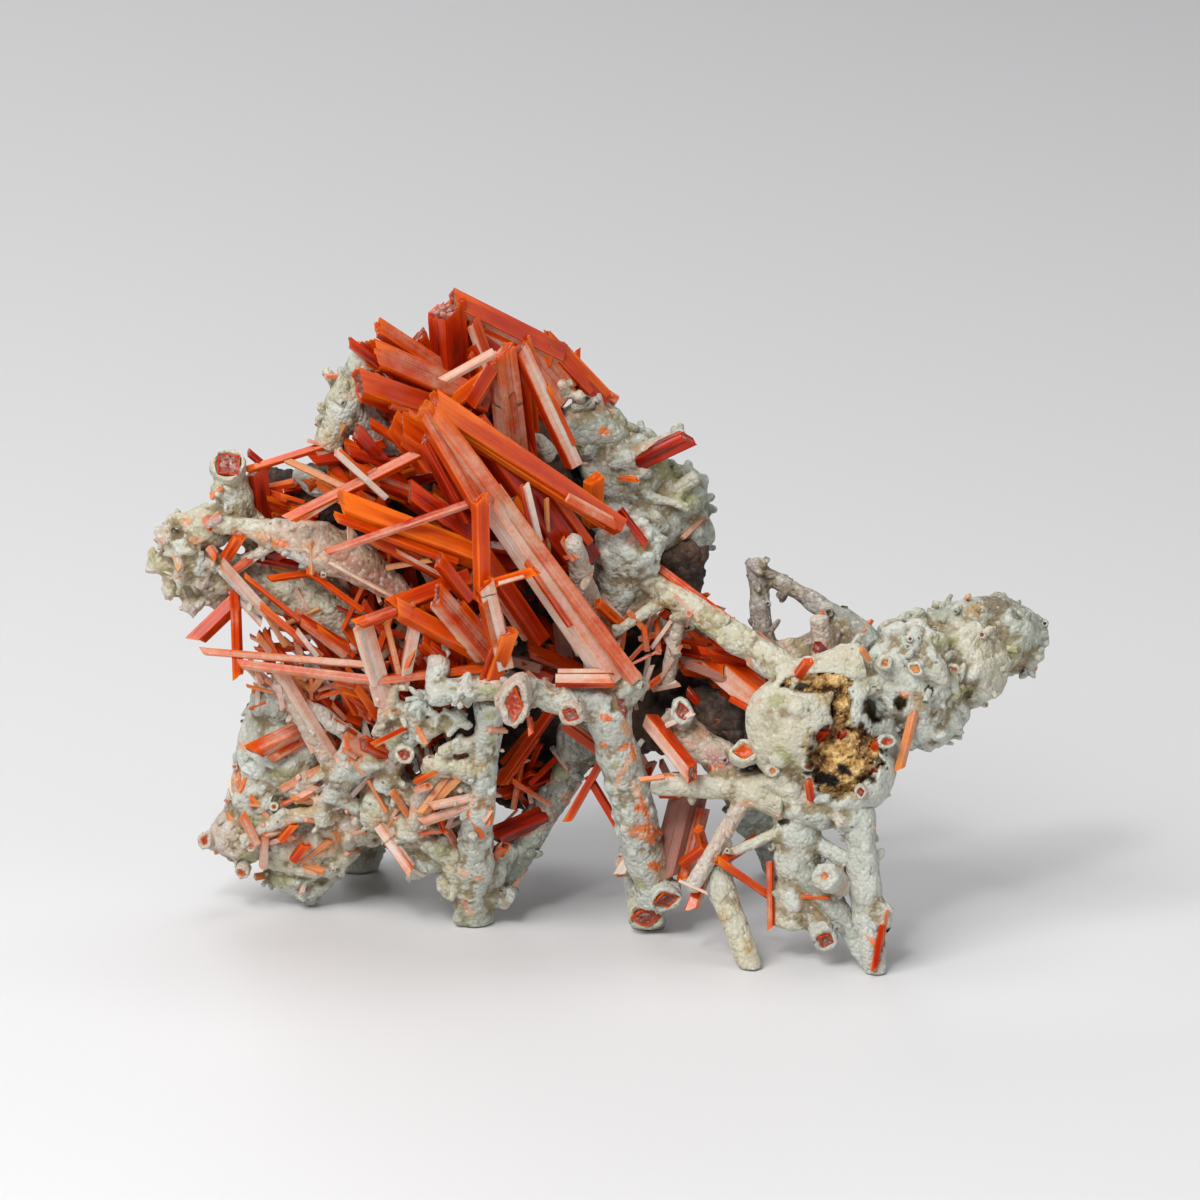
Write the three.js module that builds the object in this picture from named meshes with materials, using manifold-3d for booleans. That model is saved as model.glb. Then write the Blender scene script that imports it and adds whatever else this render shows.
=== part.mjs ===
// A cabinet specimen of crocoite: orange lead chromate prisms that grow through a lattice of stalks.
// A white gibbsite crust coats the stalks, and everything is rooted in a core of dark iron gossan.
// Millimetres, +Z up. The display face looks along -Y, and the origin is under the middle of the box.
import * as THREE from "three";
import { ConvexGeometry } from "three/addons/geometries/ConvexGeometry.js";
import { mergeVertices } from "three/addons/utils/BufferGeometryUtils.js";
import Module from "manifold-3d";

const wasm = await Module();
wasm.setup();

// --- Driving dimensions ---------------------------------------------------------------------------
const SPECIMEN_WIDTH = 120; // the specimen's longest side
const SPECIMEN_STEPS = 895; // the same side in steps of the placing grid
const GRID_TILT = THREE.MathUtils.degToRad(15); // how far the placing grid leans back
const GRID_MIDDLE = 600; // the column that stands at x = 0
const FLOOR_ROW = 925; // the row where the grid plane meets the floor
const GAP = 0.3; // clearance between one solid and the next
const FLOOR_DEPTH = 20; // thickness of the block that trims the feet flat

// Every place below is [column, row, depth] in steps of a grid that leans back by GRID_TILT:
// columns run to the right, rows run down the face, and depth runs away from the viewer.
const STEP = SPECIMEN_WIDTH / SPECIMEN_STEPS;

function place([column, row, depth]) {
  const y = depth * STEP;
  const rise = (FLOOR_ROW - row) * STEP;
  return new THREE.Vector3(
    (column - GRID_MIDDLE) * STEP,
    y,
    (rise - y * Math.sin(GRID_TILT)) / Math.cos(GRID_TILT),
  );
}

// --- Solids ---------------------------------------------------------------------------------------
const STALK_SIDES = 6;
const LUMP_CORNERS = 12;
const LUMP_FULLNESS = 1.1; // how far its corners stand out, so that its flat faces keep its size
const LUMP_ROUGHNESS = 0.16; // share of its radius by which a crust lump's corners vary
const ROCK_ROUGHNESS = 0.36; // the same for a lump of gossan
const GOLDEN_ANGLE = Math.PI * (3 - Math.sqrt(5));
const SECTION_SLIMNESS = 0.8; // a prism's short diagonal over its long one
const TIP_SLOPE = 0.7; // rise of a prism's end face over its half width
const VIEW = new THREE.Vector3(0, Math.cos(GRID_TILT), -Math.sin(GRID_TILT)); // along the depth
const SAME_POINT = 1e-4; // corners closer than this are one corner

// A repeatable stream of numbers from 0 to 1, by the usual linear congruential rule.
const FACTOR = 1664525;
const STRIDE = 1013904223;
const RANGE = 2 ** 32;

function numbers(seed) {
  let state = seed;
  return () => {
    state = (state * FACTOR + STRIDE) % RANGE;
    return state / RANGE;
  };
}

function solidOf(geometry) {
  const bare = geometry.clone();
  bare.deleteAttribute("normal");
  const merged = mergeVertices(bare, SAME_POINT);
  return new wasm.Manifold(
    new wasm.Mesh({
      numProp: 3,
      vertProperties: new Float32Array(merged.attributes.position.array),
      triVerts: new Uint32Array(merged.index.array),
    }),
  );
}

function geometryOf(solid) {
  const mesh = solid.getMesh();
  const corners = new Float32Array(mesh.numVert * 3);
  for (let i = 0; i < mesh.numVert; i++) {
    corners.set(mesh.vertProperties.subarray(i * mesh.numProp, i * mesh.numProp + 3), i * 3);
  }
  const geometry = new THREE.BufferGeometry();
  geometry.setAttribute("position", new THREE.BufferAttribute(corners, 3));
  geometry.setIndex(new THREE.BufferAttribute(new Uint32Array(mesh.triVerts), 1));
  const faceted = geometry.toNonIndexed();
  faceted.computeVertexNormals();
  return faceted;
}

const joined = (solids) => wasm.Manifold.union(solids);

// The one body that a cut leaves standing, without the slivers beside it.
function mainBody(solid) {
  return solid.decompose().reduce((a, b) => (b.volume() > a.volume() ? b : a));
}

// Two directions across an axis: one in the grid's plane, one towards its back.
function acrossAxes(along) {
  const side = new THREE.Vector3().crossVectors(along, VIEW).normalize();
  const back = new THREE.Vector3().crossVectors(side, along).normalize();
  return [side, back];
}

// A straight many-sided rod with flat ends, from one point to another.
function rod(start, end, startRadius, endRadius, sides) {
  const [side, back] = acrossAxes(end.clone().sub(start).normalize());
  const corners = [];
  for (let i = 0; i < sides; i++) {
    const turn = (i * 2 * Math.PI) / sides;
    const out = side.clone().multiplyScalar(Math.cos(turn)).addScaledVector(back, Math.sin(turn));
    corners.push(start.clone().addScaledVector(out, startRadius));
    corners.push(end.clone().addScaledVector(out, endRadius));
  }
  return solidOf(new ConvexGeometry(corners));
}

// A crusted stalk from one place to another, thicker by grow all round.
function stalk([from, to, startRadius, endRadius], grow = 0) {
  const start = place(from);
  const end = place(to);
  const along = end.clone().sub(start).normalize();
  return rod(
    start.addScaledVector(along, -grow),
    end.addScaledVector(along, grow),
    startRadius * STEP + grow,
    endRadius * STEP + grow,
    STALK_SIDES,
  );
}

// A lump: a ball with its own radii, whose corners vary by the roughness.
function lump([centre, radii], roughness, grow = 0) {
  const middle = place(centre);
  const [across, high, deep] = radii.map((radius) => radius * STEP + grow);
  const next = numbers(centre[0] * centre[1] + radii[0]);
  const corners = [];
  for (let i = 0; i < LUMP_CORNERS; i++) {
    const rise = 1 - (2 * i + 1) / LUMP_CORNERS;
    const flat = Math.sqrt(1 - rise * rise);
    const turn = i * GOLDEN_ANGLE;
    const swell = LUMP_FULLNESS + (next() - 0.5) * roughness;
    const out = new THREE.Vector3(
      across * flat * Math.cos(turn),
      deep * flat * Math.sin(turn),
      high * rise,
    );
    corners.push(middle.clone().addScaledVector(out, swell));
  }
  return solidOf(new ConvexGeometry(corners));
}

// A four-sided crystal prism from its root to an oblique end face. Width is its long diagonal, roll
// turns the section about the axis in degrees, and taper is the width at the tip over that at the root.
function prism([root, tip, width, roll, taper = 1], grow = 0) {
  const start = place(root);
  const end = place(tip);
  const along = end.clone().sub(start).normalize();
  start.addScaledVector(along, -grow);
  end.addScaledVector(along, grow * Math.SQRT2);
  const [side, back] = acrossAxes(along);
  const half = (width * STEP) / 2;
  const corners = [];
  for (let i = 0; i < 4; i++) {
    const turn = THREE.MathUtils.degToRad(roll) + (i * Math.PI) / 2;
    const reach = half * (i % 2 ? SECTION_SLIMNESS : 1) + grow * Math.SQRT2;
    const out = side.clone().multiplyScalar(Math.cos(turn)).addScaledVector(back, Math.sin(turn));
    const slope = -Math.cos(turn) * half * TIP_SLOPE;
    corners.push(start.clone().addScaledVector(out, reach));
    corners.push(end.clone().addScaledVector(out, reach * taper).addScaledVector(along, slope));
  }
  return solidOf(new ConvexGeometry(corners));
}

// --- Crocoite crystals: [root, tip, width, roll, taper] -------------------------------------------
const CRYSTALS = {
  crown_crystals: [
    [[560, 357, 45], [454, 305, 6], 32, 20],
    [[603, 402, 62], [545, 341, 42], 28, 35],
    [[454, 412, 35], [448, 310, 4], 44, 15],
    [[442, 410, 44], [419, 336, 30], 26, 40],
    [[500, 400, 24], [474, 324, 0], 17, 10],
    [[542, 410, 48], [520, 345, 26], 32, 30],
  ],
  upper_left_crystals: [
    [[465, 385, 25], [380, 330, -20], 22, 20],
    [[485, 405, 15], [375, 357, -32], 38, 30],
    [[465, 424, 2], [360, 386, -40], 38, 20],
    [[395, 378, -22], [352, 345, -32], 14, 40],
    [[446, 408, -5], [494, 372, -15], 22, 45],
  ],
  upright_crystals: [
    [[514, 458, -15], [502, 356, -65], 36, 15],
    [[530, 458, -5], [519, 352, -50], 22, 40],
    [[574, 466, -30], [521, 352, -60], 22, 25],
    [[474, 404, -45], [498, 366, -62], 24, 60],
  ],
  rod_crystal: [[[496, 356, -88], [446, 384, -95], 12, 30]],
  long_crystals: [
    [[622, 530, -45], [437, 408, -112], 38, 20, 1.05],
    [[634, 680, -98], [437, 416, -132], 22, 30],
    [[614, 678, -92], [494, 502, -120], 36, 15],
    [[492, 524, -100], [426, 412, -126], 28, 35],
  ],
  post_crystals: [
    [[484, 600, -128], [482, 500, -146], 20, 20],
    [[504, 665, -108], [486, 584, -140], 28, 35],
    [[488, 690, -95], [509, 632, -128], 24, 20],
    [[488, 585, -136], [537, 571, -160], 15, 45],
  ],
  wedge_crystals: [
    [[500, 500, -55], [404, 430, -76], 34, 20],
    [[440, 446, -68], [292, 520, -82], 15, 25],
    [[380, 472, -72], [304, 520, -80], 13, 60],
    [[388, 499, -72], [339, 454, -90], 10, 45],
  ],
  fan_crystals: [
    [[482, 558, -70], [346, 506, -95], 32, 20],
    [[478, 540, -66], [412, 492, -76], 28, 40],
    [[470, 505, -96], [330, 553, -106], 11, 30],
    [[470, 590, -62], [370, 536, -84], 18, 35],
    [[452, 590, -66], [440, 544, -78], 11, 20],
  ],
  left_rod_crystals: [
    [[335, 444, -18], [247, 471, -8], 10, 20],
    [[346, 488, -30], [286, 460, -12], 10, 40],
  ],
  edge_crystals: [
    [[240, 598, -12], [196, 640, -24], 21, 20],
    [[236, 590, -18], [239, 677, -42], 14, 30],
    [[385, 666, -70], [203, 651, -34], 11, 40],
  ],
  girder_crystals: [
    [[392, 682, -76], [241, 664, -58], 12, 20],
    [[376, 680, -78], [496, 666, -76], 13, 35],
    [[386, 704, -64], [364, 622, -96], 24, 15],
    [[402, 682, -74], [388, 622, -92], 9, 40],
    [[403, 688, -72], [418, 618, -92], 16, 20],
  ],
  lattice_crystals: [
    [[480, 652, -80], [398, 608, -104], 24, 20],
    [[470, 578, -70], [394, 606, -100], 26, 35],
    [[416, 604, -98], [360, 624, -112], 15, 25],
    [[487, 655, -84], [438, 596, -112], 28, 15],
  ],
  coated_rod_crystals: [
    [[345, 780, 0], [278, 668, -50], 17, 25],
    [[330, 748, -6], [283, 672, -36], 16, 10],
    [[374, 748, -10], [306, 704, -24], 15, 40],
  ],
  lower_left_crystals: [
    [[316, 722, 10], [252, 752, -12], 22, 20],
    [[312, 736, 12], [270, 760, -4], 14, 50],
  ],
  tucked_crystals: [
    [[392, 730, -20], [338, 682, -46], 13, 20],
    [[394, 742, -22], [356, 684, -54], 14, 45],
  ],
  curved_crystal: [[[420, 722, -62], [374, 744, -88], 8, 30]],
  web_rod_crystals: [
    [[468, 752, -62], [422, 812, -70], 11, 20],
    [[496, 792, -58], [430, 806, -72], 13, 40],
    [[494, 798, -58], [422, 822, -66], 12, 20],
  ],
  inner_blades: [
    [[690, 640, 20], [764, 702, -72], 38, 15],
    [[652, 640, 18], [712, 652, -12], 26, 40],
  ],
  blunt_crystal: [[[650, 720, -66], [694, 774, -128], 25, 30]],
  mauve_blade: [
    [[692, 782, -30], [668, 878, -45], 42, 10],
    [[706, 797, -38], [659, 797, -46], 5, 40],
  ],
  chevron_crystals: [
    [[756, 838, -96], [718, 862, -134], 13, 20],
    [[774, 898, -122], [716, 858, -136], 12, 40],
    [[769, 860, -126], [770, 926, -132], 9, 20],
  ],
  slab_crystal: [[[708, 862, -100], [692, 908, -122], 17, 30]],
  arm_crystal: [[[914, 700, -108], [897, 768, -120], 12, 20]],
  arch_crystal: [[[552, 710, -10], [499, 785, -25], 14, 25]],
  shin_crystals: [
    [[564, 724, -44], [606, 755, -50], 14, 25],
    [[604, 757, -47], [568, 821, -24], 12, 40],
    [[588, 776, -32], [632, 850, -46], 11, 25],
  ],
  low_rod_crystal: [[[378, 826, -20], [411, 872, -34], 15, 25]],
  back_left_crystals: [
    [[560, 586, 112], [412, 432, 198], 28, 20],
    [[536, 616, 128], [394, 484, 208], 20, 50],
    [[474, 418, 172], [384, 512, 204], 16, 10],
    [[548, 580, 114], [536, 436, 176], 24, 30],
    [[536, 560, 122], [606, 462, 178], 18, 40],
  ],
  back_right_crystals: [
    [[566, 718, 152], [700, 592, 192], 24, 20],
    [[590, 748, 146], [728, 646, 196], 18, 40],
    [[672, 592, 172], [716, 700, 196], 15, 10],
    [[600, 692, 160], [560, 560, 204], 20, 25],
  ],
};

// --- Crusted matrix: stalks [from, to, start radius, end radius] and lumps [centre, radii] ----------
const CRUST = {
  left_lobe: {
    stalks: [
      [[230, 466, -14], [238, 512, -4], 16, 17],
      [[238, 512, -4], [262, 540, 8], 17, 17],
      [[214, 522, -24], [282, 536, -38], 10, 14],
      [[282, 536, -38], [332, 552, -42], 14, 26],
      [[332, 552, -42], [408, 596, -52], 26, 11],
      [[192, 566, 8], [318, 600, 10], 22, 28],
      [[318, 600, 10], [370, 632, 2], 28, 20],
    ],
    lumps: [
      [[186, 558, 12], [36, 36, 30]],
      [[208, 528, 3], [30, 24, 26]],
    ],
  },
  upper_left_stalk: {
    stalks: [
      [[368, 354, -8], [346, 402, -14], 14, 19],
      [[346, 402, -14], [328, 446, -6], 19, 14],
      [[352, 412, -6], [402, 460, 30], 17, 16],
      [[326, 370, 6], [352, 404, 2], 5, 7],
    ],
  },
  upper_shoulder: {
    stalks: [
      [[578, 408, 58], [603, 397, 56], 9, 8],
      [[668, 496, 50], [697, 476, 40], 8, 7],
      [[636, 458, 42], [684, 437, 38], 13, 9],
    ],
    lumps: [
      [[592, 430, 62], [38, 32, 32]],
      [[622, 468, 62], [44, 42, 38]],
      [[668, 494, 78], [42, 36, 36]],
      [[684, 530, 82], [30, 32, 30]],
      [[634, 524, 58], [46, 38, 36]],
    ],
  },
  centre_knob: {
    stalks: [
      [[638, 538, -30], [604, 610, 12], 24, 30],
      [[573, 546, -62], [592, 630, -22], 10, 15],
    ],
    lumps: [[[630, 550, -16], [34, 32, 32]]],
  },
  long_stalk: {
    stalks: [
      [[640, 574, -12], [802, 682, -108], 17, 22],
      [[681, 607, -42], [666, 684, -28], 9, 8],
      [[664, 600, -26], [612, 634, -52], 8, 7],
    ],
    lumps: [[[636, 598, 5], [26, 26, 26]]],
  },
  right_hub: {
    stalks: [
      [[776, 684, -100], [862, 666, -92], 22, 25],
      [[868, 672, -92], [880, 764, -96], 19, 23],
    ],
    lumps: [
      [[796, 726, -112], [50, 58, 42]],
      [[842, 770, -108], [52, 50, 42]],
      [[840, 706, -96], [52, 42, 40]],
      [[830, 804, -116], [48, 26, 32]],
    ],
  },
  right_arm: {
    stalks: [[[917, 640, -52], [917, 608, -56], 9, 7]],
    lumps: [
      [[908, 676, -74], [52, 56, 42]],
      [[956, 658, -48], [52, 52, 40]],
      [[1002, 634, -18], [46, 46, 36]],
      [[926, 722, -70], [38, 34, 34]],
    ],
  },
  right_front_leg: {
    stalks: [[[856, 812, -126], [874, 978, -172], 17, 13]],
    lumps: [[[884, 908, -160], [13, 13, 11]]],
  },
  right_inner_leg: {
    stalks: [
      [[798, 806, -112], [794, 928, -122], 23, 21],
      [[806, 868, -132], [854, 934, -156], 14, 13],
      [[810, 898, -128], [825, 934, -146], 13, 12],
      [[810, 870, -136], [826, 876, -174], 12, 13],
    ],
  },
  centre_leg: {
    stalks: [
      [[566, 700, -92], [606, 706, -84], 15, 22],
      [[606, 706, -84], [659, 906, -34], 22, 19],
      [[634, 846, -6], [649, 938, -14], 17, 18],
      [[636, 674, -80], [610, 706, -80], 19, 20],
    ],
  },
  front_beam: {
    stalks: [
      [[430, 694, -92], [500, 684, -98], 10, 14],
      [[498, 685, -97], [535, 691, -99], 16, 15],
      [[517, 689, -98], [511, 710, -121], 19, 17],
    ],
  },
  middle_leg: {
    stalks: [
      [[494, 712, -82], [478, 800, -54], 15, 18],
      [[478, 800, -54], [474, 932, 8], 18, 21],
      [[478, 768, -70], [434, 764, -76], 9, 8],
    ],
  },
  slant_leg: {
    stalks: [[[582, 752, 12], [486, 900, 18], 20, 18]],
  },
  web_stalks: {
    stalks: [
      [[410, 704, -66], [386, 786, -22], 12, 15],
      [[434, 760, -74], [418, 836, -14], 11, 13],
      [[462, 710, -76], [414, 744, -66], 10, 12],
    ],
    lumps: [
      [[396, 804, 6], [42, 44, 35]],
      [[434, 850, 11], [42, 33, 32]],
    ],
  },
  lower_left_lobe: {
    stalks: [[[206, 840, 50], [254, 844, 48], 12, 22]],
    lumps: [
      [[292, 750, 52], [58, 64, 44]],
      [[258, 812, 54], [38, 54, 38]],
      [[310, 842, 58], [54, 44, 42]],
      [[350, 798, 44], [46, 52, 38]],
      [[302, 882, 68], [34, 30, 28]],
    ],
  },
  right_branch: {
    stalks: [
      [[654, 783, -80], [780, 794, -116], 11, 20],
      [[750, 790, -113], [690, 888, -127], 11, 9],
      [[664, 722, -52], [752, 774, -97], 21, 18],
      [[680, 726, -66], [682, 710, -86], 12, 12],
    ],
  },
  right_strut: {
    stalks: [
      [[718, 858, -104], [726, 896, -128], 13, 14],
      [[726, 896, -128], [752, 974, -156], 14, 11],
    ],
  },
  back_stalks: {
    stalks: [
      [[757, 560, 66], [767, 664, 26], 10, 13],
      [[767, 574, 64], [842, 618, 26], 8, 12],
      [[842, 618, 26], [876, 650, -10], 13, 16],
      [[818, 616, -10], [826, 662, -10], 12, 14],
      [[767, 660, 24], [846, 648, 6], 16, 22],
    ],
  },
  back_left_crust: {
    stalks: [
      [[390, 600, 130], [300, 560, 200], 26, 16],
      [[400, 680, 150], [430, 760, 240], 24, 17],
    ],
    lumps: [
      [[400, 620, 134], [80, 74, 52]],
      [[356, 700, 124], [60, 60, 48]],
      [[446, 536, 124], [66, 66, 46]],
    ],
  },
  back_right_crust: {
    stalks: [
      [[660, 650, 120], [740, 640, 150], 24, 14],
      [[540, 700, 150], [560, 770, 215], 24, 16],
    ],
    lumps: [
      [[556, 650, 134], [84, 70, 54]],
      [[648, 680, 110], [72, 62, 48]],
    ],
  },
  back_left_foot: {
    stalks: [[[374, 770, 140], [346, 888, 206], 28, 19]],
  },
  back_right_foot: {
    stalks: [[[716, 735, 80], [800, 896, 182], 26, 18]],
  },
};

// The pocket of earthy limonite in the hub, and the dark core that everything is rooted in.
const LIMONITE = {
  lumps: [
    [[842, 752, -132], [36, 32, 22]],
    [[818, 692, -126], [24, 14, 14]],
    [[838, 716, -134], [13, 20, 12]],
  ],
};
const CORE = {
  stalks: [
    [[620, 690, 70], [800, 742, -54], 46, 28],
    [[262, 488, 44], [400, 504, 62], 20, 40],
  ],
  lumps: [
    [[430, 570, 76], [112, 116, 56]],
    [[450, 690, 80], [112, 76, 56]],
    [[560, 570, 76], [104, 104, 54]],
    [[580, 690, 80], [104, 76, 56]],
    [[506, 462, 60], [72, 74, 40]],
    [[530, 764, 60], [52, 50, 32]],
    [[676, 572, 72], [28, 46, 28]],
  ],
};

// --- Assembly -------------------------------------------------------------------------------------
function rockSolid({ stalks = [], lumps = [] }, roughness, grow = 0) {
  return joined([
    ...stalks.map((row) => stalk(row, grow)),
    ...lumps.map((row) => lump(row, roughness, grow)),
  ]);
}

const prismsOf = (rows, grow = 0) => joined(rows.map((row) => prism(row, grow)));

// Each entry: a node's name, its finish, and its solid made as much larger as it is told.
const PIECES = [
  ...Object.entries(CRYSTALS).map(([name, rows]) => [name, "crocoite", (g) => prismsOf(rows, g)]),
  ["limonite_pocket", "limonite", (g) => rockSolid(LIMONITE, ROCK_ROUGHNESS, g)],
  ...Object.entries(CRUST).map(([name, row]) => [
    name,
    "gibbsite",
    (g) => rockSolid(row, LUMP_ROUGHNESS, g),
  ]),
  ["gossan_core", "gossan", (g) => rockSolid(CORE, ROCK_ROUGHNESS, g)],
];

// The block under the floor, which cuts every foot off flat.
function floorBlock() {
  const side = 3 * SPECIMEN_WIDTH;
  const block = new THREE.BoxGeometry(side, side, FLOOR_DEPTH).toNonIndexed();
  block.deleteAttribute("uv");
  block.translate(0, 0, -FLOOR_DEPTH / 2);
  return solidOf(block);
}

const FINISHES = {
  crocoite: new THREE.MeshStandardMaterial({ color: 0xd9480f, roughness: 0.25, metalness: 0 }),
  gibbsite: new THREE.MeshStandardMaterial({ color: 0xcfcdbd, roughness: 0.8, metalness: 0 }),
  limonite: new THREE.MeshStandardMaterial({ color: 0x9a6f2a, roughness: 0.95, metalness: 0 }),
  gossan: new THREE.MeshStandardMaterial({ color: 0x35251c, roughness: 0.9, metalness: 0 }),
};

// Each solid gives way to those before it, so a crystal keeps its faces and the crust closes round it.
function buildSolids() {
  const taken = [floorBlock()];
  const solids = new Map();
  for (const [name, finish, make] of PIECES) {
    solids.set(name, { finish, solid: mainBody(make(0).subtract(joined(taken))) });
    taken.push(make(GAP));
  }
  return solids;
}

function assemble() {
  const specimen = new THREE.Group();
  for (const [name, { finish, solid }] of buildSolids()) {
    const mesh = new THREE.Mesh(geometryOf(solid), FINISHES[finish]);
    mesh.name = name;
    specimen.add(mesh);
  }
  const box = new THREE.Box3().setFromObject(specimen);
  const middle = box.getCenter(new THREE.Vector3());
  specimen.position.set(-middle.x, -middle.y, -box.min.z);
  return specimen;
}

export default assemble();
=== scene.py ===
"""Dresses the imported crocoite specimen.

Glassy orange crystals, a sugary crust with fine tubules, a pocket of earthy limonite and a dark
gossan core take the place of the plain solids, and a small studio is set up round them.
"""

import logging
import math
from dataclasses import dataclass, field
from enum import Enum

import bmesh
import bpy
import numpy as np
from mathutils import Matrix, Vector, noise


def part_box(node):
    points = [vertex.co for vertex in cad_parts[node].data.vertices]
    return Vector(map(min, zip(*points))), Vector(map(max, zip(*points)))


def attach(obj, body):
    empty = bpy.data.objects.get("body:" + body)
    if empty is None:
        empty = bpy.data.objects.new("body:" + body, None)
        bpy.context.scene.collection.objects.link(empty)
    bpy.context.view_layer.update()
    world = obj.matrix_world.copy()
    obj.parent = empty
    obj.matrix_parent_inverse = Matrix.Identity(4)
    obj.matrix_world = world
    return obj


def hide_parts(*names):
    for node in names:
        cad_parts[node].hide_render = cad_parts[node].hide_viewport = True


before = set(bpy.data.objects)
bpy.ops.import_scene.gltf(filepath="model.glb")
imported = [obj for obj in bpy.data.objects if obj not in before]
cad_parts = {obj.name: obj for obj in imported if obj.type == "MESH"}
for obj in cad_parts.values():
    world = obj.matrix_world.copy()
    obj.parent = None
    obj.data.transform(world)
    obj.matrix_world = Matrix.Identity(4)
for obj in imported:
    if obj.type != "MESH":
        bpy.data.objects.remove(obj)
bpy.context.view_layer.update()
LOG = logging.getLogger("crocoite")

Spot = tuple[float, float, float]
Colour = tuple[float, float, float]
Span = tuple[float, float]
Row = tuple
Socket = bpy.types.NodeSocket
MM = 0.001
FULL_TURN = 2 * math.pi
CRYSTAL_SEED = 11
CRUST_SEED = 23
SMALL_SEED = 31
SPRAY_SEED = 41
NEEDLE_SEED = 43
CORED_SEED = 57


# --- Placing grid ---------------------------------------------------------------------------------


@dataclass
class Grid:
    """The leaning grid that places every part: columns run right, rows down and depth away."""

    step: float = 0.120 / 895
    tilt: float = math.radians(15)
    middle: float = 600
    floor_row: float = 925
    shift: np.ndarray = field(default_factory=lambda: np.zeros(3))

    @property
    def away(self) -> np.ndarray:
        """Gives the direction of growing depth."""
        return np.array((0.0, math.cos(self.tilt), -math.sin(self.tilt)))

    def place(self, spot: Spot) -> np.ndarray:
        """Turns a spot of the grid into metres.

        Args:
            spot: column, row and depth in steps.

        Returns:
            The point in the row frame.
        """
        column, row, depth = spot
        y = depth * self.step
        rise = (self.floor_row - row) * self.step
        z = (rise - y * math.sin(self.tilt)) / math.cos(self.tilt)
        return np.array(((column - self.middle) * self.step, y, z)) + self.shift

    def spots(self, points: np.ndarray) -> np.ndarray:
        """Turns points in metres back into spots of the grid.

        Args:
            points: points, one in each row.

        Returns:
            Columns, rows and depths, one spot in each row.
        """
        bare = points - self.shift
        rise = bare[:, 2] * math.cos(self.tilt) + bare[:, 1] * math.sin(self.tilt)
        column = bare[:, 0] / self.step + self.middle
        return np.column_stack((column, self.floor_row - rise / self.step, bare[:, 1] / self.step))

    def across(self, along: np.ndarray) -> tuple[np.ndarray, np.ndarray]:
        """Finds two directions across an axis.

        Args:
            along: the axis, of length one.

        Returns:
            The direction to its left on the face, and the one towards its back.
        """
        side = np.cross(along, self.away)
        if np.linalg.norm(side) < 0.01:
            side = np.array((1.0, 0.0, 0.0))
        side = unit(side)
        return side, np.cross(side, along)

    def settle(self, row: "Row", node: str) -> None:
        """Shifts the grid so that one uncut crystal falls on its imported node.

        Args:
            row: the crystal's root, tip, width and roll.
            node: name of its node.
        """
        corners = Prism.of(row).corners(self)
        low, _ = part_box(node)
        self.shift = np.array(low) - corners.min(axis=0)


GRID = Grid()


# --- Gathering meshes -----------------------------------------------------------------------------


class Forms:
    """Vertices, faces and painted values of many small forms, on their way into one mesh."""

    def __init__(self) -> None:
        """Starts with nothing."""
        self.points: list[np.ndarray] = []
        self.faces: list[tuple[int, ...]] = []
        self.paint: dict[str, list[np.ndarray]] = {}
        self.count = 0

    def add(self, points: np.ndarray, faces: list[tuple[int, ...]], **paint: np.ndarray) -> None:
        """Adds one form.

        Args:
            points: its vertices.
            faces: its faces, as indices into points.
            **paint: values for each vertex by attribute name, three numbers each.
        """
        self.points.append(points)
        self.faces.extend(tuple(i + self.count for i in face) for face in faces)
        for name, values in paint.items():
            self.paint.setdefault(name, []).append(np.broadcast_to(values, (len(points), 3)))
        self.count += len(points)

    def mesh(self, name: str) -> bpy.types.Mesh:
        """Makes the mesh.

        Args:
            name: the mesh's name.

        Returns:
            A mesh with one colour attribute for each painted name.
        """
        made = bpy.data.meshes.new(name)
        made.from_pydata(np.concatenate(self.points).tolist(), [], self.faces)
        for attribute, values in self.paint.items():
            paint_vertices(made, attribute, np.concatenate(values))
        made.validate()
        return made


def unit(way: np.ndarray) -> np.ndarray:
    """Gives a direction of length one."""
    return way / np.linalg.norm(way)


def lean_from(normal: np.ndarray, rng: np.random.Generator) -> np.ndarray:
    """Draws a direction that is square to a normal."""
    lean = rng.normal(size=3)
    return unit(lean - normal * (lean @ normal))


def ring_faces(rings: int, sides: int) -> list[tuple[int, ...]]:
    """Joins rings of points by four-sided faces.

    Args:
        rings: how many rings follow each other.
        sides: points in each ring.

    Returns:
        The faces, as indices into the points of all the rings.
    """
    made = []
    for start in range(0, (rings - 1) * sides, sides):
        for i in range(sides):
            j = (i + 1) % sides
            made.append((start + i, start + j, start + sides + j, start + sides + i))
    return made


def nearest_on(points: np.ndarray, a: np.ndarray, b: np.ndarray) -> tuple[np.ndarray, np.ndarray]:
    """Finds the nearest place on a line for each point.

    Args:
        points: points, one in each row.
        a: the line's first end.
        b: its last end.

    Returns:
        Share of the way from a to b, and the distance, for each point.
    """
    share = np.clip((points - a) @ (b - a) / ((b - a) @ (b - a)), 0, 1)
    return share, np.linalg.norm(points - (a + share[:, None] * (b - a)), axis=1)


def paint_vertices(mesh: bpy.types.Mesh, name: str, values: np.ndarray) -> None:
    """Stores three numbers on each vertex.

    Args:
        mesh: the mesh.
        name: the attribute's name.
        values: three numbers for each vertex.
    """
    layer = mesh.attributes.new(name, "FLOAT_COLOR", "POINT")
    flat = np.column_stack((values, np.ones(len(values)))).astype(np.float32)
    layer.data.foreach_set("color", flat.ravel())


def read_points(mesh: bpy.types.Mesh) -> np.ndarray:
    """Gives a mesh's vertices as rows of three numbers."""
    flat = np.empty(len(mesh.vertices) * 3, dtype=np.float32)
    mesh.vertices.foreach_get("co", flat)
    return flat.reshape(-1, 3).astype(np.float64)


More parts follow.
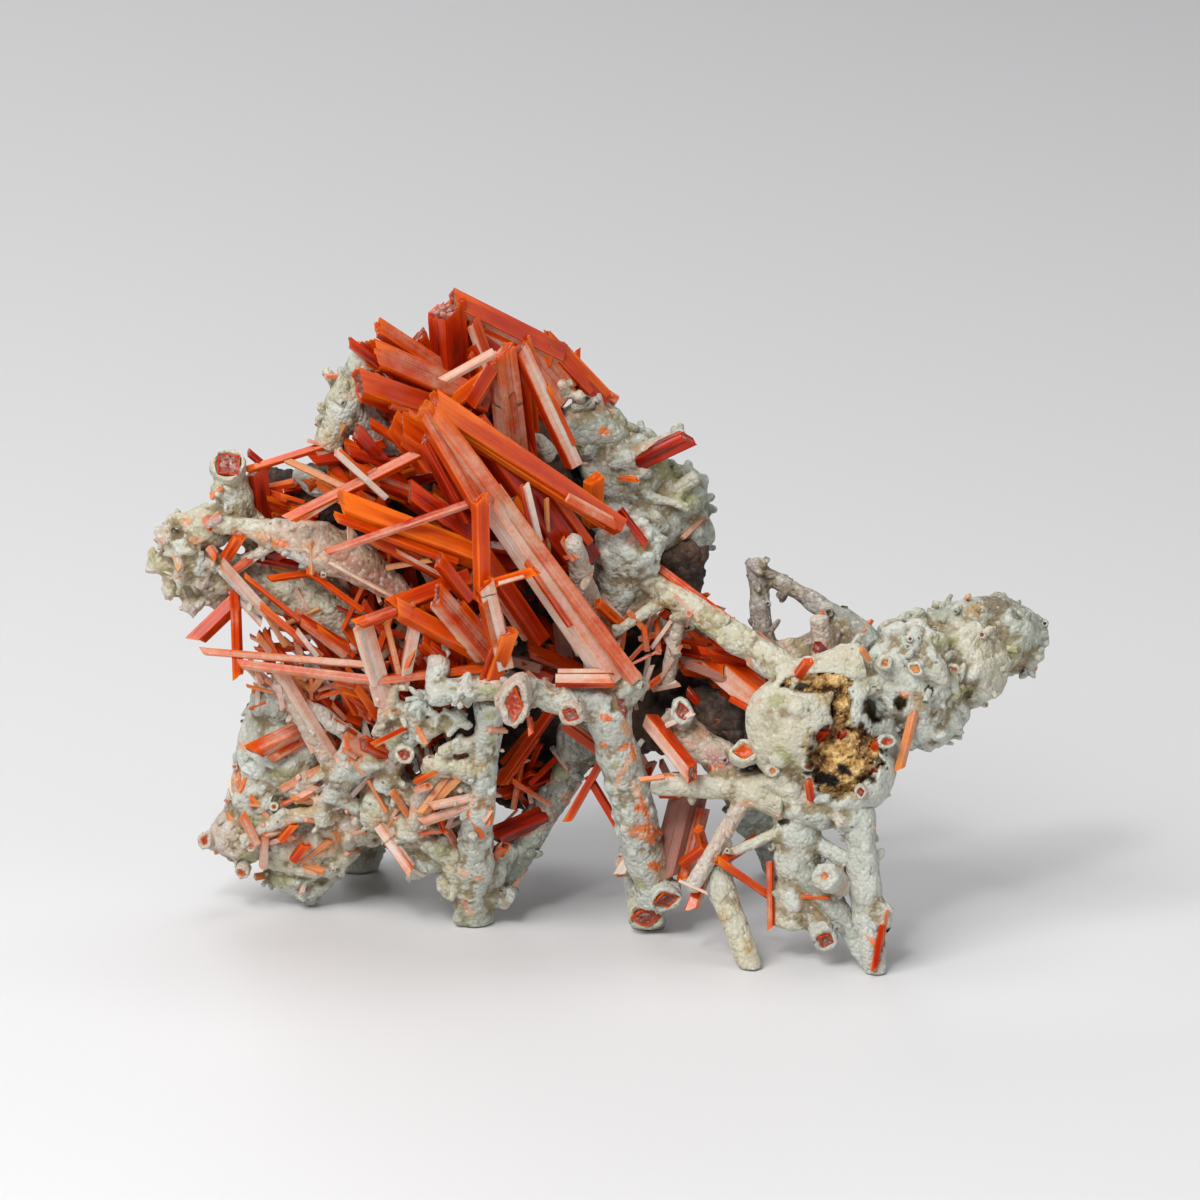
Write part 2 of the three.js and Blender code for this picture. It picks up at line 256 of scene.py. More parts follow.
def read_normals(mesh: bpy.types.Mesh) -> np.ndarray:
    """Gives a mesh's vertex normals as rows of three numbers."""
    flat = np.empty(len(mesh.vertices) * 3, dtype=np.float32)
    mesh.vertices.foreach_get("normal", flat)
    return flat.reshape(-1, 3).astype(np.float64)


def write_points(mesh: bpy.types.Mesh, points: np.ndarray) -> None:
    """Moves a mesh's vertices.

    Args:
        mesh: the mesh.
        points: the new places, one in each row.
    """
    mesh.vertices.foreach_set("co", points.astype(np.float32).ravel())
    mesh.update()


def remeshed(raw: bpy.types.Mesh, voxel: float, smoothing: int) -> bpy.types.Mesh:
    """Fuses overlapping closed forms into one skin.

    Args:
        raw: the forms.
        voxel: size of a cell, in metres.
        smoothing: how many times the skin is smoothed.

    Returns:
        The fused mesh.
    """
    holder = bpy.data.objects.new("fusing", raw)
    bpy.context.scene.collection.objects.link(holder)
    fuse = holder.modifiers.new("fuse", "REMESH")
    fuse.mode = "VOXEL"
    fuse.voxel_size = voxel
    fuse.use_smooth_shade = True
    if smoothing:
        ease = holder.modifiers.new("ease", "SMOOTH")
        ease.factor = 0.5
        ease.iterations = smoothing
    seen = holder.evaluated_get(bpy.context.evaluated_depsgraph_get())
    made = bpy.data.meshes.new_from_object(seen)
    bpy.data.objects.remove(holder)
    bpy.data.meshes.remove(raw)
    return made


def add_piece(
    name: str,
    mesh: bpy.types.Mesh,
    material: bpy.types.Material,
    nodes: tuple[str, ...] = (),
) -> bpy.types.Object:
    """Puts a finished mesh into the scene as a piece of the specimen.

    Args:
        name: the piece's name.
        mesh: its mesh.
        material: its material.
        nodes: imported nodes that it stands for.

    Returns:
        The piece.
    """
    mesh.materials.clear()
    mesh.materials.append(material)
    piece = bpy.data.objects.new(name, mesh)
    bpy.context.scene.collection.objects.link(piece)
    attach(piece, "root")
    if nodes:
        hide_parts(*nodes)
    LOG.info("%s: %d vertices", name, len(mesh.vertices))
    return piece


# --- Crystals -------------------------------------------------------------------------------------


class Look(Enum):
    """How a crystal is coated: frost on its left, right and rear faces, and how bright it is. Some looks also
    carry painted light or shade.
    """

    CLEAR = (0.04, 0.10, 0.35, 0.60)
    BRIGHT = (0.02, 0.05, 0.20, 0.80)
    STREAK = (0.22, 0.46, 0.60, 0.66)
    LEFT = (1.00, 0.12, 0.50, 0.55)
    RIGHT = (0.12, 1.00, 0.50, 0.55)
    SALMON = (0.72, 0.56, 0.75, 0.60)
    FROST = (1.10, 1.00, 0.95, 0.60)
    # White frost; on some thin rods it also paints a lamp's reflection as a white face: a painted reflection.
    WHITE_FROST_AND_GLINT = (1.45, 1.35, 1.10, 0.70)
    # Dark red: the crystals' own deep colour, also used as painted shade for crystals that sit in shadow
    # between others and in the sprays that fill the gaps.
    DEEP_RED_AND_SHADE = (0.02, 0.06, 0.20, 0.24)
    RUST = (0.16, 0.26, 0.40, 0.02)
    RUBY = (0.34, 0.40, 0.30, 0.36)
    MAUVE = (0.95, 0.90, 0.85, 0.12)
    SANDY = (0.60, 0.55, 0.80, 1.20)
    PEACH = (0.78, 0.84, 0.80, 0.95)


class End(Enum):
    """How a crystal ends: how uneven its end face is and how far the middle of it is sunk."""

    CUT = (0.06, 0.05)
    BROKEN = (0.13, 0.16)
    HOLLOW = (0.10, 0.95)
    ROUGH = (0.10, 0.06)


@dataclass(frozen=True)
class Prism:
    """One four-sided crystal with ribbed faces and an oblique end."""

    root: Spot
    tip: Spot
    width: float
    roll: float
    look: Look = Look.CLEAR
    end: End = End.CUT
    taper: float = 1.0
    slimness: float = 0.8
    slope: float = 0.7

    @classmethod
    def of(cls, row: Row) -> "Prism":
        """Reads a row of root, tip, width, roll and then look, end or taper in any order."""
        named = {Look: "look", End: "end", float: "taper"}
        return cls(*row[:4], **{named[type(value)]: value for value in row[4:]})

    def section(self, grid: Grid) -> np.ndarray:
        """Gives the four corners of the section, to the left and towards the back, in metres."""
        half = self.width * grid.step / 2
        turns = math.radians(self.roll) + np.arange(4) * math.pi / 2
        reach = half * np.array((1, self.slimness, 1, self.slimness))
        return np.column_stack((np.cos(turns) * reach, np.sin(turns) * reach))

    def axes(self, grid: Grid) -> tuple[np.ndarray, np.ndarray, np.ndarray, float]:
        """Gives the axis, the two directions across it and the length."""
        along = grid.place(self.tip) - grid.place(self.root)
        length = float(np.linalg.norm(along))
        along = along / length
        return along, *grid.across(along), length

    def corners(self, grid: Grid) -> np.ndarray:
        """Gives the eight corners of the plain prism."""
        along, side, back, length = self.axes(grid)
        section = self.section(grid)
        foot = grid.place(self.root) + section[:, :1] * side + section[:, 1:] * back
        turns = math.radians(self.roll) + np.arange(4) * math.pi / 2
        rise = length - np.cos(turns) * self.width * grid.step / 2 * self.slope
        head = grid.place(self.root) + self.taper * (section[:, :1] * side + section[:, 1:] * back)
        return np.concatenate((foot, head + rise[:, None] * along))


@dataclass
class CrystalSmith:
    """Cuts detailed crystals out of plain prisms."""

    ribs: int = 3
    rib_depth: float = 0.06
    rib_widths: Span = (0.5, 1.5)
    rib_frost: Span = (0.8, 1.15)
    ledges: int = 2
    ledge_span: Span = (0.12, 0.94)
    ledge_slope: float = 0.25
    bevel: float = 0.08
    tint_change: Span = (-0.12, 0.12)
    end_rim: float = 0.62
    rng: np.random.Generator = field(default_factory=lambda: np.random.default_rng(CRYSTAL_SEED))

    def outline(self, prism: Prism, grid: Grid) -> tuple[np.ndarray, np.ndarray, np.ndarray]:
        """Draws the ribbed section.

        Args:
            prism: the plain prism.
            grid: the placing grid.

        Returns:
            The points of the section, the inward direction at each, and rows of face number,
            share across the face and frost for each.
        """
        corners = prism.section(grid)
        points, inward, facts = [], [], []
        for face in range(4):
            a, b = corners[face], corners[(face + 1) % 4]
            out = unit(np.array((b[1] - a[1], a[0] - b[0])))
            left, right, rear, _ = prism.look.value
            frost = rear if out[1] > 0 else left if out[0] > 0 else right
            widths = self.rng.uniform(*self.rib_widths, self.ribs)
            stops = np.concatenate(((0,), np.cumsum(widths) / widths.sum()))
            stops = self.bevel + stops * (1 - 2 * self.bevel)
            for rib in range(self.ribs):
                coat = frost * self.rng.uniform(*self.rib_frost)
                for stop in stops[rib : rib + 2]:
                    points.append(a + (b - a) * stop)
                    inward.append(-out)
                    facts.append((face, stop, coat))
        return np.array(points), np.array(inward), np.array(facts)

    def cut(self, forms: Forms, prism: Prism, grid: Grid) -> None:
        """Adds one detailed crystal.

        Args:
            forms: where it goes.
            prism: the plain prism.
            grid: the placing grid.
        """
        along, side, back, length = prism.axes(grid)
        half = prism.width * grid.step / 2
        points, inward, facts = self.outline(prism, grid)
        count = len(points)
        unevenness, sink = prism.end.value
        sunk = np.repeat(self.rng.uniform(0, self.rib_depth, count // 2), 2) * half
        stops = np.sort(self.rng.uniform(*self.ledge_span, self.ledges))
        rings: list[tuple[float, np.ndarray]] = [(0.0, sunk.copy())]
        for stop in stops:
            rings.append((stop, sunk.copy()))
            rib = int(self.rng.integers(count // 2))
            sunk[2 * rib : 2 * rib + 2] = half * self.rng.uniform(0, 1.5 * self.rib_depth)
            rings.append((min(stop + self.ledge_slope * half / length, 0.97), sunk.copy()))
        rings.append((1.0, sunk.copy()))
        tint = prism.look.value[3] + self.rng.uniform(*self.tint_change)
        seed = self.rng.uniform(0, 50)
        verts, dress, grain, glow = [], [], [], []
        chips = np.repeat(self.rng.uniform(-1, 1, count // 2), 2)
        chips = (chips + np.roll(chips, 2) + 0.5 * self.rng.uniform(-1, 1, count)) * unevenness * half
        for index, (share, depths) in enumerate(rings):
            scale = 1 + (prism.taper - 1) * share
            flat = (points + inward * depths[:, None]) * scale
            rise = np.full(count, share * length)
            if index == len(rings) - 1:
                rise = rise - flat[:, 0] * prism.slope + chips
            spots = grid.place(prism.root) + flat[:, :1] * side + flat[:, 1:] * back
            verts.append(spots + rise[:, None] * along)
            dress.append(np.column_stack((facts[:, 2], np.full(count, tint), np.full(count, share))))
            # The glow numbers rise towards each face's edges and over the last tenth of the length, where the
            # finish paints a brighter painted glow.
            edge = np.abs(2 * facts[:, 1] - 1)
            glow.append(np.column_stack((np.maximum(edge, (share - 0.9) * 10), edge, edge)))
            across = (facts[:, 0] + facts[:, 1]) * 2 * half / MM
            grain.append(np.column_stack((across, rise / MM, np.full(count, seed))))
        faces = ring_faces(len(rings), count)
        head = verts[-1]
        middle = head.mean(axis=0)
        rim = middle + (head - middle) * self.end_rim - along * sink * half
        verts += [rim, (middle - along * (sink * 1.15 + 0.05) * half)[None], verts[0].mean(axis=0)[None]]
        bare = min(prism.look.value[0], prism.look.value[1]) * 0.6
        end_dress = np.array((bare, tint, 1.2))
        dress += [np.tile(end_dress, (count, 1)), end_dress[None], np.array((1.0, tint, 0.0))[None]]
        grain += [np.tile((0.0, 0.0, seed), (count + 2, 1))]
        glow += [np.full((count, 3), 0.5), np.full((2, 3), 0.2)]
        last = (len(rings) - 1) * count
        for i in range(count):
            j = (i + 1) % count
            faces.append((last + i, last + j, last + count + j, last + count + i))
            faces.append((last + count + i, last + count + j, last + 2 * count))
            faces.append((j, i, last + 2 * count + 1))
        paint = {"dress": np.concatenate(dress), "grain": np.concatenate(grain), "glow": np.concatenate(glow)}
        forms.add(np.concatenate(verts), faces, **paint)


@dataclass
class CrystalCluster:
    """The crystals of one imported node."""

    name: str
    rows: list[Row]
    nodes: tuple[str, ...]
    spacing: float = 14.0
    offsets: Span = (0.6, 0.95)
    starts: Span = (0.0, 0.45)
    stops: Span = (0.55, 1.03)
    widths: Span = (0.2, 0.48)
    turning: Span = (-15, 15)
    own_look: float = 0.5
    strays: tuple[Look, ...] = (Look.CLEAR, Look.BRIGHT, Look.STREAK, Look.SALMON)

    def bundle(self, rng: np.random.Generator) -> list[Row]:
        """Adds thin crystals that have grown along the wide ones.

        Args:
            rng: where the numbers come from.

        Returns:
            The cluster's rows and the added ones.
        """
        made = list(self.rows)
        for row in self.rows:
            prism = Prism.of(row)
            along, side, back, length = prism.axes(GRID)
            half = prism.width * GRID.step / 2
            for _ in range(int(prism.width // self.spacing)):
                turn = rng.uniform(0, FULL_TURN)
                out = math.cos(turn) * side + prism.slimness * math.sin(turn) * back
                out = out * half * rng.uniform(*self.offsets)
                shares = np.array((rng.uniform(*self.starts), rng.uniform(*self.stops)))
                root, tip = GRID.spots(GRID.place(prism.root) + out + np.outer(shares * length, along))
                width = prism.width * rng.uniform(*self.widths)
                own = rng.random() < self.own_look
                look = prism.look if own else self.strays[int(rng.integers(len(self.strays)))]
                roll = prism.roll + rng.uniform(*self.turning)
                made.append((tuple(root), tuple(tip), width, roll, look, End.BROKEN))
        return made

    def build(self, smith: CrystalSmith, material: bpy.types.Material) -> None:
        """Cuts the crystals and puts them into the scene.

        Args:
            smith: cuts them.
            material: dresses them.
        """
        forms = Forms()
        for row in self.bundle(smith.rng):
            smith.cut(forms, Prism.of(row), GRID)
        add_piece(self.name, forms.mesh(self.name), material, self.nodes)


@dataclass
class Spray:
    """Many small crystals that lie about one spot."""

    centre: Spot
    spread: Spot
    count: int
    heading: float
    scatter: float
    length: Span
    width: Span
    looks: tuple[Look, ...]
    lean: float = 0.5

    def rows(self, rng: np.random.Generator) -> list[Row]:
        """Draws the small crystals.

        Args:
            rng: where the numbers come from.

        Returns:
            Rows of root, tip, width, roll and look.
        """
        made = []
        for _ in range(self.count):
            middle = np.array(self.centre) + np.array(self.spread) * rng.uniform(-1, 1, 3)
            turn = math.radians(self.heading + rng.uniform(-self.scatter, self.scatter))
            reach = rng.uniform(*self.length) / 2
            out = np.array((math.cos(turn), -math.sin(turn), rng.uniform(-self.lean, self.lean))) * reach
            look = self.looks[int(rng.integers(len(self.looks)))]
            roll = rng.uniform(0, 90)
            width = rng.uniform(*self.width)
            made.append((tuple(middle - out), tuple(middle + out), width, roll, look))
        return made


CRYSTALS: dict[str, list[Row]] = {
    "crown_crystals": [
        ((560, 357, 45), (454, 305, 6), 32, 20, Look.LEFT, End.BROKEN),
        ((603, 402, 62), (545, 341, 42), 28, 35, End.BROKEN),
        ((454, 412, 35), (448, 310, 4), 44, 15, Look.DEEP_RED_AND_SHADE, End.BROKEN),
        ((442, 410, 44), (419, 336, 30), 26, 40, Look.DEEP_RED_AND_SHADE, End.BROKEN),
        ((500, 400, 24), (474, 324, 0), 17, 10, Look.LEFT),
        ((542, 410, 48), (520, 345, 26), 32, 30, Look.SALMON, End.BROKEN),
    ],
    "upper_left_crystals": [
        ((465, 385, 25), (380, 330, -20), 22, 20, Look.STREAK, End.BROKEN),
        ((485, 405, 15), (375, 357, -32), 38, 30, Look.STREAK, End.BROKEN),
        ((465, 424, 2), (360, 386, -40), 38, 20, End.BROKEN),
        ((395, 378, -22), (352, 345, -32), 14, 40, Look.DEEP_RED_AND_SHADE, End.BROKEN),
        ((446, 408, -5), (494, 372, -15), 22, 45, Look.BRIGHT),
    ],
    "upright_crystals": [
        ((514, 458, -15), (502, 356, -65), 36, 15, Look.SALMON, End.BROKEN),
        ((530, 458, -5), (519, 352, -50), 22, 40),
        ((574, 466, -30), (521, 352, -60), 22, 25, Look.RIGHT),
        ((474, 404, -45), (498, 366, -62), 24, 60, Look.STREAK),
    ],
    "rod_crystal": [((496, 356, -88), (446, 384, -95), 12, 30, Look.FROST)],
    "long_crystals": [
        ((620, 528, -52), (437, 410, -112), 25, 20, Look.BRIGHT, End.BROKEN, 1.55),
        ((634, 680, -98), (437, 416, -132), 22, 30, Look.SALMON, End.BROKEN),
        ((614, 678, -92), (494, 502, -120), 36, 15, Look.FROST),
        ((492, 524, -100), (426, 412, -126), 28, 35, Look.STREAK, End.HOLLOW),
    ],
    "post_crystals": [
        ((484, 600, -128), (482, 500, -146), 20, 20, Look.BRIGHT),
        ((504, 665, -108), (486, 584, -140), 28, 35, Look.RIGHT),
        ((488, 690, -95), (509, 632, -128), 24, 20, Look.BRIGHT),
        ((488, 585, -136), (537, 571, -160), 15, 45, Look.BRIGHT),
    ],
    "wedge_crystals": [
        ((500, 500, -55), (404, 430, -76), 34, 20),
        ((440, 446, -68), (292, 520, -82), 15, 25, Look.STREAK),
        ((380, 472, -72), (304, 520, -80), 13, 60, Look.SALMON),
        ((388, 499, -72), (339, 454, -90), 10, 45, Look.WHITE_FROST_AND_GLINT),
    ],
    "fan_crystals": [
        ((482, 558, -70), (346, 506, -95), 32, 20, Look.BRIGHT, End.BROKEN),
        ((478, 540, -66), (412, 492, -76), 28, 40, Look.DEEP_RED_AND_SHADE),
        ((470, 505, -96), (330, 553, -106), 11, 30, Look.SALMON),
        ((470, 590, -62), (370, 536, -84), 18, 35),
        ((452, 590, -66), (440, 544, -78), 11, 20),
    ],
    "left_rod_crystals": [
        ((335, 444, -18), (247, 471, -8), 10, 20),
        ((346, 488, -30), (286, 460, -12), 10, 40, Look.SANDY),
    ],
    "edge_crystals": [
        ((240, 598, -12), (196, 640, -24), 21, 20, End.HOLLOW),
        ((236, 590, -18), (239, 677, -42), 14, 30, Look.STREAK, End.HOLLOW),
        ((385, 666, -70), (203, 651, -34), 11, 40, Look.SALMON),
    ],
    "girder_crystals": [
        ((392, 682, -76), (241, 664, -58), 12, 20, Look.SALMON),
        ((376, 680, -78), (496, 666, -76), 13, 35, Look.STREAK),
        ((386, 704, -64), (364, 622, -96), 24, 15, Look.FROST),
        ((402, 682, -74), (388, 622, -92), 9, 40, Look.SANDY),
        ((403, 688, -72), (418, 618, -92), 16, 20, Look.FROST),
    ],
    "lattice_crystals": [
        ((480, 652, -80), (398, 608, -104), 24, 20, Look.BRIGHT),
        ((470, 578, -70), (394, 606, -100), 26, 35),
        ((416, 604, -98), (360, 624, -112), 15, 25, Look.STREAK, End.BROKEN),
        ((487, 655, -84), (438, 596, -112), 28, 15, Look.SALMON, End.BROKEN),
    ],
    "coated_rod_crystals": [
        ((345, 780, 0), (278, 668, -50), 17, 25, Look.FROST),
        ((330, 748, -6), (283, 672, -36), 16, 10, Look.STREAK),
        ((374, 748, -10), (306, 704, -24), 15, 40, Look.FROST),
    ],
    "lower_left_crystals": [
        ((316, 722, 10), (252, 752, -12), 22, 20, Look.SALMON),
        ((312, 736, 12), (270, 760, -4), 14, 50, Look.SALMON),
    ],
    "tucked_crystals": [
        ((392, 730, -20), (338, 682, -46), 13, 20, Look.STREAK),
        ((394, 742, -22), (356, 684, -54), 14, 45, Look.BRIGHT),
    ],
    "curved_crystal": [((420, 722, -62), (374, 744, -88), 8, 30, Look.LEFT)],
    "web_rod_crystals": [
        ((468, 752, -62), (422, 812, -70), 11, 20, Look.SANDY),
        ((496, 792, -58), (430, 806, -72), 13, 40, Look.FROST),
        ((494, 798, -58), (422, 822, -66), 12, 20, Look.FROST),
    ],
    "inner_blades": [
        ((690, 640, 20), (764, 702, -72), 38, 15, Look.RIGHT),
        ((652, 640, 18), (712, 652, -12), 26, 40, Look.DEEP_RED_AND_SHADE),
    ],
    "blunt_crystal": [((650, 720, -66), (692, 772, -126), 27, 94, Look.RIGHT)],
    "mauve_blade": [
        ((692, 782, -30), (668, 878, -45), 42, 10, Look.MAUVE),
        ((706, 797, -38), (659, 797, -46), 5, 40),
    ],
    "chevron_crystals": [
        ((756, 838, -96), (718, 862, -134), 13, 20),
        ((774, 898, -122), (716, 858, -136), 12, 40, Look.STREAK),
        ((769, 860, -126), (770, 926, -132), 9, 20, Look.STREAK),
    ],
    "slab_crystal": [((708, 862, -100), (692, 908, -122), 17, 30, Look.LEFT)],
    "arm_crystal": [((914, 700, -108), (897, 768, -120), 12, 20, Look.SANDY)],
    "arch_crystal": [((552, 710, -10), (499, 785, -25), 14, 25)],
    "shin_crystals": [
        ((564, 724, -44), (606, 755, -50), 14, 25),
        ((604, 757, -47), (568, 821, -24), 12, 40, Look.STREAK),
        ((588, 776, -32), (632, 850, -46), 11, 25),
    ],
    "low_rod_crystal": [((378, 826, -20), (411, 872, -34), 15, 25, Look.FROST)],
    "back_left_crystals": [
        ((560, 586, 112), (412, 432, 198), 28, 20, End.BROKEN),
        ((536, 616, 128), (394, 484, 208), 20, 50, Look.STREAK),
        ((548, 580, 114), (536, 436, 176), 24, 30, Look.SALMON),
        ((536, 560, 122), (606, 462, 178), 18, 40),
        ((474, 418, 172), (384, 512, 204), 16, 10, Look.SALMON),
    ],
    "back_right_crystals": [
        ((566, 718, 152), (700, 592, 192), 24, 20, End.BROKEN),
        ((590, 748, 146), (728, 646, 196), 18, 40, Look.FROST),
        ((600, 692, 160), (560, 560, 204), 20, 25, Look.STREAK),
        ((672, 592, 172), (716, 700, 196), 15, 10, Look.SALMON),
    ],
}

